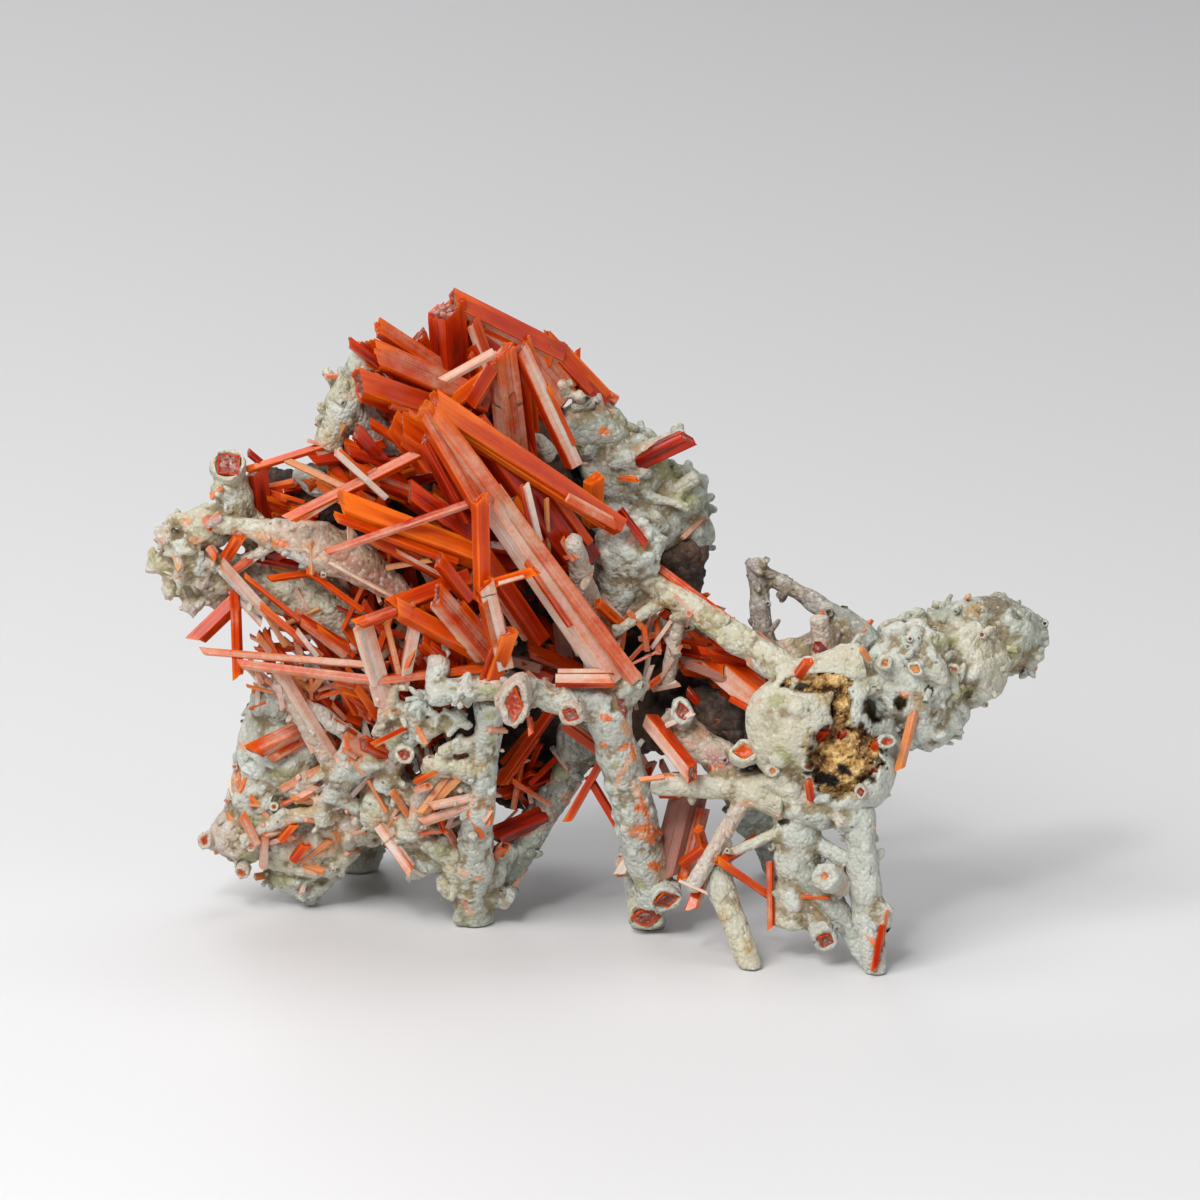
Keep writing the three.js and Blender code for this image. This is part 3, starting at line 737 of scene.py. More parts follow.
SMALL_CRYSTALS: list[Row] = [
    ((384, 456, -30), (358, 441, -50), 5, 20, Look.FROST),
    ((381, 488, -70), (343, 453, -90), 6, 20, Look.BRIGHT),
    ((540, 541, -95), (527, 486, -104), 9, 30, Look.WHITE_FROST_AND_GLINT),
    ((534, 541, -93), (522, 487, -100), 6, 30),
    ((549, 556, -60), (547, 500, -80), 6, 20, Look.SANDY),
    ((352, 543, -58), (352, 519, -66), 7, 20, Look.FROST),
    ((388, 568, -66), (432, 560, -80), 7, 20, Look.SANDY),
    ((592, 524, 0), (594, 480, -30), 24, 20, Look.BRIGHT, End.BROKEN),
    ((620, 510, -46), (646, 545, -44), 9, 20, Look.DEEP_RED_AND_SHADE, End.BROKEN),
    ((636, 462, 34), (688, 438, 20), 24, 20, Look.RUST, End.BROKEN),
    ((620, 478, 18), (637, 480, 4), 7, 20, Look.STREAK),
    ((262, 524, 10), (258, 470, -4), 26, 20, Look.DEEP_RED_AND_SHADE),
    ((270, 470, -6), (250, 453, -12), 9, 20, Look.DEEP_RED_AND_SHADE),
    ((306, 503, -40), (283, 496, -44), 5, 20),
    ((226, 560, -24), (242, 536, -40), 15, 20, Look.BRIGHT),
    ((272, 546, -22), (232, 574, -40), 12, 30, Look.SALMON),
    ((322, 572, -30), (271, 579, -48), 9, 20),
    ((364, 611, -60), (308, 570, -50), 8, 20),
    ((268, 614, -30), (224, 564, -44), 13, 20, Look.FROST, End.HOLLOW),
    ((300, 620, -30), (246, 576, -36), 7, 20),
    ((322, 657, -40), (262, 606, -38), 9, 20, Look.STREAK),
    ((286, 646, -20), (262, 606, -30), 7, 20, Look.SANDY),
    ((318, 656, -46), (298, 630, -50), 6, 20, Look.WHITE_FROST_AND_GLINT),
    ((346, 656, -40), (302, 622, -44), 9, 20, Look.SALMON),
    ((354, 656, -34), (318, 628, -40), 9, 20),
    ((270, 652, -20), (258, 636, -28), 8, 20, Look.SANDY),
    ((300, 618, -24), (350, 648, -34), 12, 20, Look.DEEP_RED_AND_SHADE),
    ((620, 624, -40), (597, 603, -62), 14, 20, Look.BRIGHT),
    ((452, 662, -66), (422, 636, -90), 26, 20, Look.DEEP_RED_AND_SHADE, End.BROKEN),
    ((478, 652, -84), (478, 622, -92), 6, 20, Look.WHITE_FROST_AND_GLINT),
    ((556, 680, -106), (612, 680, -108), 20, 78, Look.LEFT),
    ((550, 806, -10), (512, 781, -30), 6, 20, Look.SALMON),
    ((545, 816, 0), (492, 838, -20), 24, 20, Look.DEEP_RED_AND_SHADE),
    ((560, 776, 8), (500, 796, -10), 15, 20, Look.DEEP_RED_AND_SHADE),
    ((488, 860, -10), (506, 846, -46), 13, 20, Look.SALMON, End.HOLLOW),
    ((416, 781, -63), (436, 770, -79), 9, 20, Look.BRIGHT),
    ((416, 790, -63), (430, 785, -77), 9, 20, Look.PEACH, End.HOLLOW),
    ((414, 826, -27), (392, 792, -47), 9, 20, Look.SANDY),
    ((458, 850, -17), (440, 820, -41), 11, 20, Look.SALMON),
    ((418, 834, -35), (447, 831, -47), 5, 20, Look.SALMON),
    ((394, 758, -37), (364, 742, -71), 19, 20, Look.DEEP_RED_AND_SHADE, End.BROKEN),
    ((638, 850, -20), (621, 876, -40), 17, 20, Look.WHITE_FROST_AND_GLINT, End.HOLLOW),
    ((730, 698, -64), (775, 723, -92), 8, 20, Look.BRIGHT),
    ((744, 633, -66), (650, 563, -14), 13, 20, Look.STREAK),
    ((704, 848, -60), (698, 828, -92), 13, 20, Look.BRIGHT, End.BROKEN),
    ((682, 864, -56), (706, 846, -82), 13, 20),
    ((826, 656, -20), (816, 646, -40), 14, 20, Look.DEEP_RED_AND_SHADE, End.BROKEN),
    ((796, 674, -120), (806, 660, -142), 13, 20, End.BROKEN),
    ((809, 798, -142), (806, 778, -152), 9, 20),
    ((808, 744, -108), (821, 727, -134), 17, 30, Look.RUBY, End.BROKEN),
    ((832, 746, -110), (841, 731, -138), 9, 10, Look.RUST, End.BROKEN),
    ((864, 756, -108), (875, 740, -132), 12, 40, Look.RUBY, End.BROKEN),
    ((866, 776, -108), (874, 768, -128), 8, 20, Look.RUST, End.BROKEN),
    ((338, 777, 9), (298, 799, -3), 10, 20, Look.PEACH), ((364, 809, 7), (290, 800, 5), 9, 20, Look.SANDY),
    ((361, 786, 1), (351, 763, -11), 7, 20, Look.PEACH),
    ((260, 870, 25), (262, 838, 9), 11, 20, Look.PEACH),
    ((290, 862, 21), (304, 846, 9), 13, 20), ((336, 842, 17), (328, 816, 7), 7, 20, Look.SANDY),
    ((348, 834, 11), (364, 832, 3), 7, 20, Look.PEACH), ((312, 792, 13), (280, 806, 3), 6, 20, Look.SALMON),
    ((284, 832, 17), (262, 838, 5), 6, 20, Look.PEACH),
    ((530, 716, -120), (532, 733, -128), 7, 20, Look.STREAK),
    ((372, 700, -40), (342, 690, -52), 8, 20, Look.STREAK),
    ((370, 690, -44), (336, 682, -54), 8, 20, Look.SALMON),
    ((330, 700, -14), (342, 676, -30), 9, 20, Look.FROST),
    ((312, 690, -20), (326, 672, -32), 8, 20, Look.SANDY),
    ((420, 640, -84), (408, 668, -88), 6, 20, Look.STREAK),
    ((456, 610, -60), (428, 652, -70), 14, 20, Look.DEEP_RED_AND_SHADE),
    ((424, 706, -60), (400, 692, -66), 12, 20, Look.DEEP_RED_AND_SHADE),
    ((560, 440, -20), (548, 398, -40), 12, 20),
    ((866, 660, -128), (858, 648, -140), 8, 20, Look.SANDY),
    ((664, 776, -104), (640, 779, -100), 7, 20, Look.SANDY),
    ((560, 400, 50), (520, 350, 34), 44, 20, Look.SALMON, End.BROKEN),
    ((530, 420, 44), (474, 340, 16), 40, 15, Look.DEEP_RED_AND_SHADE, End.BROKEN),
    ((600, 400, 60), (560, 358, 50), 30, 30, Look.DEEP_RED_AND_SHADE, End.BROKEN),
    ((570, 560, -50), (478, 430, -88), 34, 20, Look.DEEP_RED_AND_SHADE),
    ((560, 600, -50), (512, 500, -74), 30, 30),
    ((590, 560, -40), (540, 490, -60), 28, 15, Look.DEEP_RED_AND_SHADE),
    ((540, 640, -60), (486, 560, -96), 26, 20, Look.DEEP_RED_AND_SHADE),
    ((585, 650, -50), (548, 570, -70), 24, 40, Look.LEFT),
    ((612, 640, -40), (566, 600, -60), 18, 20, Look.STREAK),
    ((470, 520, -80), (428, 440, -100), 24, 20, Look.DEEP_RED_AND_SHADE),
    ((470, 600, -90), (440, 560, -100), 18, 20),
    ((568, 499, -84), (614, 524, -70), 13, 30, Look.SALMON),
    ((430, 470, -60), (396, 424, -70), 26, 20, End.BROKEN),
    ((424, 500, -50), (352, 470, -64), 20, 20, Look.DEEP_RED_AND_SHADE),
    ((402, 470, -40), (350, 452, -50), 16, 40, Look.DEEP_RED_AND_SHADE),
    ((880, 922, -172), (872, 966, -182), 9, 40, Look.RUBY, End.BROKEN),
    ((318, 690, -20), (344, 682, -30), 6, 20, Look.SALMON),
    ((316, 698, -20), (344, 690, -30), 6, 20, Look.STREAK),
    ((356, 714, -24), (338, 682, -40), 9, 20, Look.BRIGHT),
    ((350, 730, -6), (318, 692, -16), 22, 20, Look.DEEP_RED_AND_SHADE),
    ((360, 724, -10), (330, 712, -10), 16, 20),
    ((368, 756, -23), (346, 742, -37), 22, 20, Look.PEACH, End.BROKEN),
    ((302, 786, 1), (346, 796, -1), 9, 30, Look.PEACH), ((280, 790, 9), (322, 768, 1), 10, 30, Look.PEACH),
    ((346, 800, -3), (370, 774, -13), 9, 20, Look.WHITE_FROST_AND_GLINT),
    ((368, 780, -27), (386, 812, -25), 6, 20, Look.SANDY),
    ((424, 812, -63), (466, 770, -73), 10, 20, Look.SANDY),
    ((278, 842, 11), (292, 826, 5), 11, 30, Look.BRIGHT, End.BROKEN),
    ((254, 846, 11), (240, 816, 3), 12, 30, Look.PEACH),
    ((298, 864, 23), (328, 842, 15), 8, 20, Look.SANDY),
    ((248, 848, 19), (292, 838, 11), 8, 30, Look.FROST),
    ((330, 826, 7), (314, 796, -1), 8, 20, Look.WHITE_FROST_AND_GLINT, End.HOLLOW),
    ((208, 517, -26), (214, 528, -32), 11, 20, Look.SALMON, End.BROKEN),
    ((211, 547, -22), (218, 557, -28), 11, 20, Look.SALMON, End.BROKEN),
    ((240, 566, -26), (268, 550, -36), 10, 20, Look.WHITE_FROST_AND_GLINT),
    ((232, 590, -16), (262, 622, -22), 10, 20, Look.WHITE_FROST_AND_GLINT),
    ((262, 560, -22), (284, 552, -30), 16, 20, Look.DEEP_RED_AND_SHADE),
    ((300, 566, -30), (250, 556, -26), 12, 20, Look.DEEP_RED_AND_SHADE),
    ((306, 548, -64), (400, 600, -72), 5, 20, Look.FROST),
]

# Most sprays mix in dark red crystals that fill gaps, where they stand in for the dark red shade seen between
# crystals: painted shade.
SPRAYS: list[Spray] = [
    Spray(
        (276, 498, 18), (24, 20, 10), 22, 175, 28, (26, 56), (6, 15),
        (Look.DEEP_RED_AND_SHADE, Look.CLEAR, Look.STREAK),
    ),
    Spray(
        (362, 478, 4), (36, 30, 20), 34, 160, 40, (30, 66), (8, 18),
        (Look.CLEAR, Look.CLEAR, Look.BRIGHT, Look.DEEP_RED_AND_SHADE),
    ),
    Spray(
        (358, 625, 22), (74, 40, 14), 44, 150, 50, (30, 70), (6, 14),
        (Look.DEEP_RED_AND_SHADE, Look.STREAK, Look.FROST, Look.CLEAR),
    ),
    Spray(
        (290, 632, 12), (38, 30, 14), 30, 140, 50, (24, 46), (5, 12),
        (Look.STREAK, Look.FROST, Look.CLEAR, Look.DEEP_RED_AND_SHADE),
    ),
    Spray(
        (300, 680, 16), (50, 16, 10), 24, 130, 50, (20, 40), (4, 9),
        (Look.STREAK, Look.FROST, Look.SANDY, Look.WHITE_FROST_AND_GLINT),
    ),
    Spray(
        (400, 720, -20), (50, 40, 16), 40, 100, 60, (20, 50), (4, 9),
        (Look.FROST, Look.WHITE_FROST_AND_GLINT, Look.SALMON, Look.DEEP_RED_AND_SHADE, Look.WHITE_FROST_AND_GLINT),
    ),
    Spray(
        (450, 780, -30), (30, 50, 16), 24, 60, 60, (20, 50), (4, 9),
        (Look.FROST, Look.WHITE_FROST_AND_GLINT, Look.SANDY, Look.DEEP_RED_AND_SHADE),
    ),
    Spray((530, 760, 6), (26, 26, 12), 8, 50, 30, (30, 60), (8, 16), (Look.DEEP_RED_AND_SHADE, Look.CLEAR)),
    Spray(
        (640, 660, -30), (30, 30, 14), 18, 60, 50, (20, 50), (4, 9),
        (Look.FROST, Look.WHITE_FROST_AND_GLINT, Look.SALMON),
    ),
    Spray((425, 650, -40), (50, 44, 14), 26, 95, 50, (30, 70), (6, 14), (Look.DEEP_RED_AND_SHADE, Look.DEEP_RED_AND_SHADE, Look.CLEAR)),
    Spray(
        (408, 432, 10), (38, 26, 14), 20, 150, 40, (30, 60), (8, 18),
        (Look.DEEP_RED_AND_SHADE, Look.CLEAR, Look.SALMON),
    ),
    Spray(
        (740, 690, -20), (50, 40, 14), 20, 150, 30, (30, 80), (8, 18),
        (Look.DEEP_RED_AND_SHADE, Look.DEEP_RED_AND_SHADE, Look.MAUVE),
    ),
    Spray(
        (440, 500, -10), (90, 70, 30), 44, 150, 50, (30, 90), (8, 22),
        (Look.DEEP_RED_AND_SHADE, Look.CLEAR, Look.DEEP_RED_AND_SHADE, Look.STREAK),
    ),
    Spray(
        (420, 620, -10), (70, 50, 28), 36, 120, 70, (30, 80), (6, 16),
        (Look.DEEP_RED_AND_SHADE, Look.CLEAR, Look.FROST),
    ),
    Spray((470, 400, 30), (70, 50, 20), 22, 140, 40, (30, 80), (8, 24), (Look.DEEP_RED_AND_SHADE, Look.CLEAR)),
    Spray((560, 620, 20), (60, 60, 30), 22, 130, 40, (30, 80), (8, 20), (Look.DEEP_RED_AND_SHADE, Look.MAUVE, Look.DEEP_RED_AND_SHADE)),
    Spray(
        (330, 590, 0), (70, 60, 22), 26, 150, 60, (16, 50), (4, 10),
        (Look.STREAK, Look.FROST, Look.SANDY),
    ),
    Spray((668, 800, -8), (26, 36, 16), 8, 80, 40, (20, 50), (6, 14), (Look.MAUVE, Look.DEEP_RED_AND_SHADE, Look.STREAK)),
    Spray((470, 800, 0), (60, 50, 20), 20, 60, 70, (16, 50), (5, 12), (Look.SALMON, Look.DEEP_RED_AND_SHADE, Look.FROST)),
    Spray(
        (330, 720, 20), (60, 50, 20), 22, 130, 60, (20, 50), (5, 12),
        (Look.FROST, Look.STREAK, Look.SALMON),
    ),
    Spray(
        (380, 790, 20), (50, 50, 20), 20, 100, 80, (16, 44), (5, 10),
        (Look.SANDY, Look.FROST, Look.SALMON),
    ),
    Spray(
        (470, 560, 170), (110, 110, 40), 60, 130, 70, (20, 90), (6, 18),
        (Look.CLEAR, Look.STREAK, Look.FROST, Look.DEEP_RED_AND_SHADE),
    ),
    Spray(
        (620, 660, 170), (90, 80, 40), 46, 50, 70, (20, 90), (6, 18),
        (Look.CLEAR, Look.STREAK, Look.FROST),
    ),
    Spray(
        (520, 430, 110), (80, 50, 30), 30, 110, 60, (20, 70), (6, 18),
        (Look.CLEAR, Look.DEEP_RED_AND_SHADE, Look.STREAK),
    ),
]


# --- Crust ----------------------------------------------------------------------------------------


class Tone(Enum):
    """Base colours of the crust; one of them also carries painted shade."""

    CHALK = (0.47, 0.49, 0.43)
    CREAM = (0.52, 0.48, 0.34)
    SAGE = (0.36, 0.38, 0.31)
    SLATE = (0.22, 0.245, 0.205)
    SAND = (0.48, 0.26, 0.15)
    BLUSH = (0.51, 0.38, 0.29)
    # Dark brown-grey of the stalks at the back: their own darker tone, deepened as painted shade because they
    # sit in shadow.
    SHADED_BROWN_GREY = (0.20, 0.14, 0.11)


class Tint(Enum):
    """Small patches on the crust: colour, how much they cover and how glassy they are; two of them paint
    shade.
    """

    AMBER = (0.66, 0.150, 0.020, 1.0, 0.9)
    PEACH = (0.66, 0.34, 0.19, 0.8, 0.5)
    PINK = (0.44, 0.24, 0.21, 0.9, 0.8)
    RUBY = (0.24, 0.040, 0.020, 1.0, 1.0)
    OCHRE = (0.42, 0.27, 0.08, 0.7, 0.0)
    OLIVE = (0.33, 0.32, 0.12, 0.7, 0.0)
    # Dark brown: partly brown staining, partly painted shade laid on crevices.
    BROWN_AND_SHADE = (0.15, 0.095, 0.045, 0.8, 0.0)
    # Near-black: painted shadow at the bottom of a hole and of the limonite pocket.
    HOLE_SHADOW = (0.02, 0.016, 0.016, 1.0, 0.0)
    MILK = (0.60, 0.62, 0.57, 0.8, 0.0)
    BRICK = (0.38, 0.17, 0.11, 0.9, 0.0)


@dataclass(frozen=True)
class Relief:
    """How rough a skin is: depths of its swells, knobs and grains, in millimetres."""

    swell: float = 0.45
    knobs: float = 0.35
    grain: float = 0.12
    swell_size: float = 4.0
    knob_size: float = 1.7
    grain_size: float = 0.6
    knob_reach: float = 0.85
    knob_floor: float = 0.7

    def heights(self, points: np.ndarray, offset: float) -> np.ndarray:
        """Works out how far each point stands out.

        Args:
            points: points in metres, one in each row.
            offset: shifts the pattern.

        Returns:
            Heights in metres.
        """
        spots = points / MM + offset
        swells = [noise.noise(Vector(p)) for p in spots / self.swell_size]
        gaps = np.array([noise.voronoi(Vector(p))[0][0] for p in spots / self.knob_size])
        knobs = np.sqrt(np.clip(1 - (gaps / self.knob_reach) ** 2, 0, 1)) - self.knob_floor
        grains = [noise.noise(Vector(p)) for p in spots / self.grain_size]
        total = self.swell * np.array(swells) + self.knobs * knobs + self.grain * np.array(grains)
        return total * MM


@dataclass(frozen=True)
class Tubules:
    """Fine tubules on a skin: how many, how long and thick in millimetres, and how they lie."""

    count: int
    length: Span = (1.8, 4.2)
    radius: Span = (0.38, 0.78)
    stand: float = 0.55
    cored: float = 0.15
    closed: float = 0.7
    lean: Span = (0.4, 1.0)
    brightness: Span = (0.85, 1.12)
    sink: float = 0.55


@dataclass
class Branch:
    """One node of the crust: its stalks, lumps, tone, relief, tubules, chips and fused rods."""

    stalks: list[Row] = field(default_factory=list)
    lumps: list[Row] = field(default_factory=list)
    tone: Tone = Tone.CHALK
    relief: Relief = Relief()
    tubules: Tubules = Tubules(0)
    chips: int = 0
    bumpiness: float = 1.0
    voxel_scale: float = 1.0
    rods: int = 0


LOBE = Relief(0.42, 0.24, 0.06, 3.8, 1.5)
SMOOTH = Relief(0.30, 0.07, 0.04, 4.0, 1.4)
STALK = Relief(0.26, 0.11, 0.05, 3.8, 1.3)
SUGARY = Relief(0.24, 0.20, 0.05, 4.0, 1.0)

BRANCHES: dict[str, Branch] = {
    "left_lobe": Branch(
        [
            ((230, 470, -14), (238, 512, -6), 17, 17, Tone.CREAM),
            ((238, 512, -6), (262, 540, 8), 17, 17, Tone.CREAM),
            ((214, 522, -24), (270, 532, -36), 9, 12, Tone.CREAM),
            ((270, 532, -36), (322, 546, -42), 13, 25, Tone.BLUSH),
            ((322, 546, -42), (366, 566, -46), 25, 20, Tone.SAND),
            ((366, 566, -46), (410, 598, -52), 20, 9, Tone.SAND),
            ((192, 566, 8), (250, 578, 6), 22, 20, Tone.CREAM),
            ((250, 578, 6), (318, 600, 8), 20, 27, Tone.CREAM),
            ((318, 600, 8), (366, 630, 2), 27, 18, Tone.CREAM),
            ((164, 562, 15), (200, 560, 10), 9, 14, Tone.CREAM),
            ((172, 536, 12), (196, 548, 6), 8, 12, Tone.CREAM),
            ((178, 590, 12), (204, 580, 6), 8, 12, Tone.BLUSH),
            ((296, 472, 20), (334, 492, 14), 12, 13, Tone.SAGE),
            ((342, 430, 2), (326, 452, -4), 10, 13, Tone.CREAM),
            ((206, 584, 0), (226, 612, 8), 10, 8, Tone.BLUSH),
            ((196, 548, -18), (188, 584, -14), 7, 6, Tone.CREAM),
            ((214, 560, -20), (200, 588, -16), 6, 5, Tone.BLUSH),
            ((224, 568, -26), (264, 612, -24), 7, 6, Tone.CHALK),
            ((244, 560, -26), (272, 548, -38), 5, 4, Tone.CHALK),
        ],
        [
            ((190, 560, 10), (30, 34, 24), Tone.BLUSH), ((210, 527, 2), (26, 22, 22), Tone.CREAM),
            ((159, 562, 8), (9, 8, 9), Tone.CREAM), ((171, 588, 6), (9, 9, 9), Tone.CREAM),
            ((166, 541, 6), (8, 8, 8), Tone.CREAM), ((180, 521, 0), (9, 7, 9), Tone.CREAM),
            ((196, 601, 2), (9, 9, 9), Tone.BLUSH), ((184, 576, -16), (10, 9, 8), Tone.CHALK),
            ((182, 548, -18), (9, 9, 8), Tone.CHALK), ((200, 566, -20), (8, 12, 7), Tone.CHALK),
        ],
        relief=SUGARY, tubules=Tubules(70, (1.2, 2.8), (0.3, 0.55), closed=0.9), chips=26,
        bumpiness=1.2, rods=30,
    ),
    "upper_left_stalk": Branch(
        [
            ((368, 354, -8), (346, 402, -14), 14, 19),
            ((346, 402, -14), (328, 446, -6), 19, 14, Tone.CREAM), ((352, 412, -6), (402, 460, 30), 17, 16),
            ((326, 370, 6), (352, 404, 2), 5, 7, Tone.BLUSH),
        ],
        relief=STALK, tubules=Tubules(14), chips=10,
    ),
    "upper_shoulder": Branch(
        [
            ((578, 408, 58), (603, 397, 56), 9, 8, Tone.SAGE),
            ((668, 496, 50), (697, 476, 40), 8, 7, Tone.CREAM), ((636, 458, 42), (684, 437, 38), 13, 9),
            ((566, 396, 46), (561, 382, 34), 6, 6, Tone.CREAM),
            ((584, 408, 50), (578, 394, 38), 6, 5, Tone.CREAM),
            ((550, 456, 24), (536, 440, 4), 7, 7, Tone.CREAM),
            ((562, 540, 6), (554, 522, -12), 6, 6, Tone.CREAM),
            ((646, 496, 34), (690, 508, 34), 4, 4, Tone.CREAM),
            ((668, 532, 46), (654, 514, 22), 6, 6, Tone.CREAM),
        ],
        [
            ((592, 430, 62), (38, 32, 32), Tone.SLATE), ((622, 468, 62), (44, 42, 38), Tone.SAGE),
            ((668, 494, 78), (42, 36, 36), Tone.SAGE), ((684, 530, 82), (30, 32, 30), Tone.SLATE),
            ((634, 524, 58), (46, 38, 36), Tone.CHALK),
        ],
        tone=Tone.SAGE, relief=Relief(0.45, 0.18, 0.05, 4.5, 1.8),
        tubules=Tubules(26, (1.8, 3.4), (0.5, 0.9), closed=0.95), chips=8, rods=14,
    ),
    "centre_knob": Branch(
        [((638, 538, -30), (604, 610, 12), 24, 30), ((573, 540, -78), (596, 630, -22), 9, 14, Tone.BLUSH)],
        [((630, 550, -16), (34, 32, 32))],
        tubules=Tubules(12), chips=8,
    ),
    "long_stalk": Branch(
        [
            ((640, 574, -12), (802, 682, -108), 12, 16, Tone.CREAM),
            ((681, 607, -42), (666, 684, -28), 7, 7, Tone.BLUSH),
            ((664, 600, -26), (612, 634, -52), 6, 5, Tone.CREAM),
        ],
        [((636, 598, 5), (26, 26, 26), Tone.SAND)],
        relief=STALK, tubules=Tubules(12), chips=5,
    ),
    "right_hub": Branch(
        [
            ((776, 684, -100), (862, 666, -92), 22, 24, Tone.CREAM),
            ((868, 672, -92), (880, 764, -96), 18, 22),
            ((772, 770, -126), (800, 800, -124), 16, 18, Tone.CREAM),
            ((846, 800, -124), (852, 826, -128), 20, 17),
            ((832, 806, -136), (840, 824, -150), 6, 5, Tone.BLUSH),
        ],
        [
            ((796, 726, -112), (50, 58, 42), Tone.CREAM), ((842, 770, -108), (52, 50, 42)),
            ((840, 706, -96), (52, 42, 40)), ((812, 802, -116), (36, 26, 30)),
        ],
        relief=SMOOTH, tubules=Tubules(14), chips=3, bumpiness=0.5, voxel_scale=0.85,
    ),
    "right_arm": Branch(
        [
            ((917, 640, -52), (917, 608, -56), 8, 6, Tone.SAGE),
            ((880, 640, -60), (1004, 612, -20), 16, 20, Tone.SLATE),
            ((900, 724, -78), (960, 700, -66), 18, 20),
        ],
        [
            ((908, 676, -74), (50, 54, 42)), ((956, 662, -48), (50, 46, 38), Tone.CREAM),
            ((1000, 636, -18), (44, 40, 34), Tone.SAGE), ((926, 712, -70), (38, 34, 34)),
        ],
        relief=LOBE, tubules=Tubules(110, (1.5, 3.2), (0.35, 0.6), 0.5, closed=0.8), chips=12,
        bumpiness=1.6, rods=110,
    ),
    "right_front_leg": Branch(
        [
            ((856, 806, -126), (866, 920, -156), 15, 16), ((866, 920, -156), (874, 978, -172), 15, 10),
            ((886, 902, -160), (876, 922, -160), 9, 12),
        ],
        relief=SMOOTH, tubules=Tubules(8), chips=3,
    ),
    "right_inner_leg": Branch(
        [
            ((796, 800, -112), (797, 872, -118), 22, 22),
            ((797, 872, -118), (790, 926, -124), 21, 17, Tone.CREAM),
            ((802, 892, -124), (824, 934, -146), 13, 12),
            ((804, 872, -130), (850, 926, -152), 14, 12, Tone.SLATE),
            ((850, 926, -152), (868, 962, -164), 12, 8, Tone.CHALK),
            ((812, 838, -122), (848, 862, -140), 7, 8),
            ((788, 826, -122), (728, 852, -120), 6, 4, Tone.CREAM),
            ((842, 884, -146), (824, 873, -168), 12, 13, Tone.BLUSH),
        ],
        relief=SMOOTH, tubules=Tubules(8), chips=2,
    ),
    "centre_leg": Branch(
        [
            ((566, 700, -92), (606, 706, -84), 14, 20), ((606, 706, -84), (658, 902, -36), 21, 20),
            ((636, 846, -6), (649, 934, -12), 17, 16),
            ((636, 674, -80), (610, 706, -80), 18, 18, Tone.SAGE),
            ((590, 640, -60), (602, 690, -76), 12, 14),
        ],
        relief=STALK, tubules=Tubules(8), voxel_scale=0.62,
    ),
    "front_beam": Branch(
        [
            ((430, 694, -92), (500, 684, -98), 10, 13), ((498, 685, -97), (535, 691, -99), 14, 14),
            ((517, 689, -98), (512, 706, -121), 16, 17, Tone.BLUSH),
            ((535, 691, -99), (570, 706, -108), 12, 13), ((440, 640, -70), (436, 694, -88), 9, 10),
        ],
        tubules=Tubules(20), chips=10, rods=6,
    ),
    "middle_leg": Branch(
        [
            ((494, 700, -84), (478, 800, -54), 13, 15, Tone.CHALK),
            ((478, 800, -54), (474, 886, -14), 16, 18, Tone.CHALK),
            ((474, 886, -14), (472, 932, 8), 19, 19, Tone.SAGE),
            ((478, 768, -70), (434, 764, -76), 8, 7, Tone.CREAM),
            ((470, 742, -74), (440, 752, -80), 6, 5, Tone.CREAM),
            ((436, 846, -22), (466, 884, -12), 10, 16, Tone.CREAM),
            ((508, 846, -2), (486, 886, -6), 10, 15, Tone.SAGE),
        ],
        [((456, 886, -8), (20, 16, 15), Tone.CREAM), ((490, 894, -2), (18, 15, 15), Tone.SAGE)],
        tone=Tone.SAGE, tubules=Tubules(14), chips=9, rods=14,
    ),
    "slant_leg": Branch(
        [((582, 748, 10), (488, 900, 16), 17, 16), ((560, 742, 0), (600, 742, 10), 20, 20)],
        tone=Tone.SLATE, relief=SUGARY, tubules=Tubules(12, closed=1.0), chips=6,
    ),
    "web_stalks": Branch(
        [
            ((410, 704, -66), (386, 786, -22), 11, 14),
            ((434, 760, -74), (418, 836, -14), 10, 12, Tone.BLUSH),
            ((462, 710, -76), (420, 740, -68), 7, 9), ((398, 680, -74), (378, 736, -50), 7, 8, Tone.CREAM),
            ((424, 690, -76), (410, 744, -60), 8, 8), ((374, 748, -40), (412, 800, -30), 8, 9, Tone.CREAM),
            ((440, 800, -52), (466, 780, -60), 6, 6, Tone.BLUSH),
            ((400, 826, -20), (470, 868, -20), 8, 12, Tone.CREAM), ((384, 760, -44), (350, 772, -20), 7, 9),
        ],
        [
            ((392, 802, 8), (38, 42, 32), Tone.CREAM), ((434, 850, 10), (40, 30, 30), Tone.SAGE),
            ((404, 836, 0), (24, 20, 24)),
        ],
        relief=LOBE, tubules=Tubules(44, (1.8, 4.5), (0.32, 0.6), 0.45, closed=0.9), chips=30, rods=60,
        voxel_scale=0.85,
    ),
    "lower_left_lobe": Branch(
        [
            ((206, 840, 46), (254, 844, 48), 11, 21, Tone.BLUSH),
            ((280, 680, -34), (330, 764, -6), 7, 9, Tone.BLUSH), ((312, 706, -26), (356, 742, -12), 6, 8),
            ((352, 742, -16), (330, 800, 0), 10, 12), ((320, 796, 0), (322, 826, 6), 8, 9, Tone.CREAM),
            ((300, 790, 6), (336, 760, -4), 6, 5, Tone.CREAM),
            ((276, 824, 10), (334, 806, 2), 6, 6, Tone.BLUSH),
            ((238, 842, 16), (300, 812, 6), 5, 5, Tone.CREAM),
            ((338, 800, -2), (384, 828, -8), 7, 8, Tone.SAGE), ((350, 782, -10), (376, 742, -22), 8, 7),
        ],
        [
            ((292, 752, 50), (59, 63, 42)), ((262, 806, 52), (36, 54, 36), Tone.CHALK),
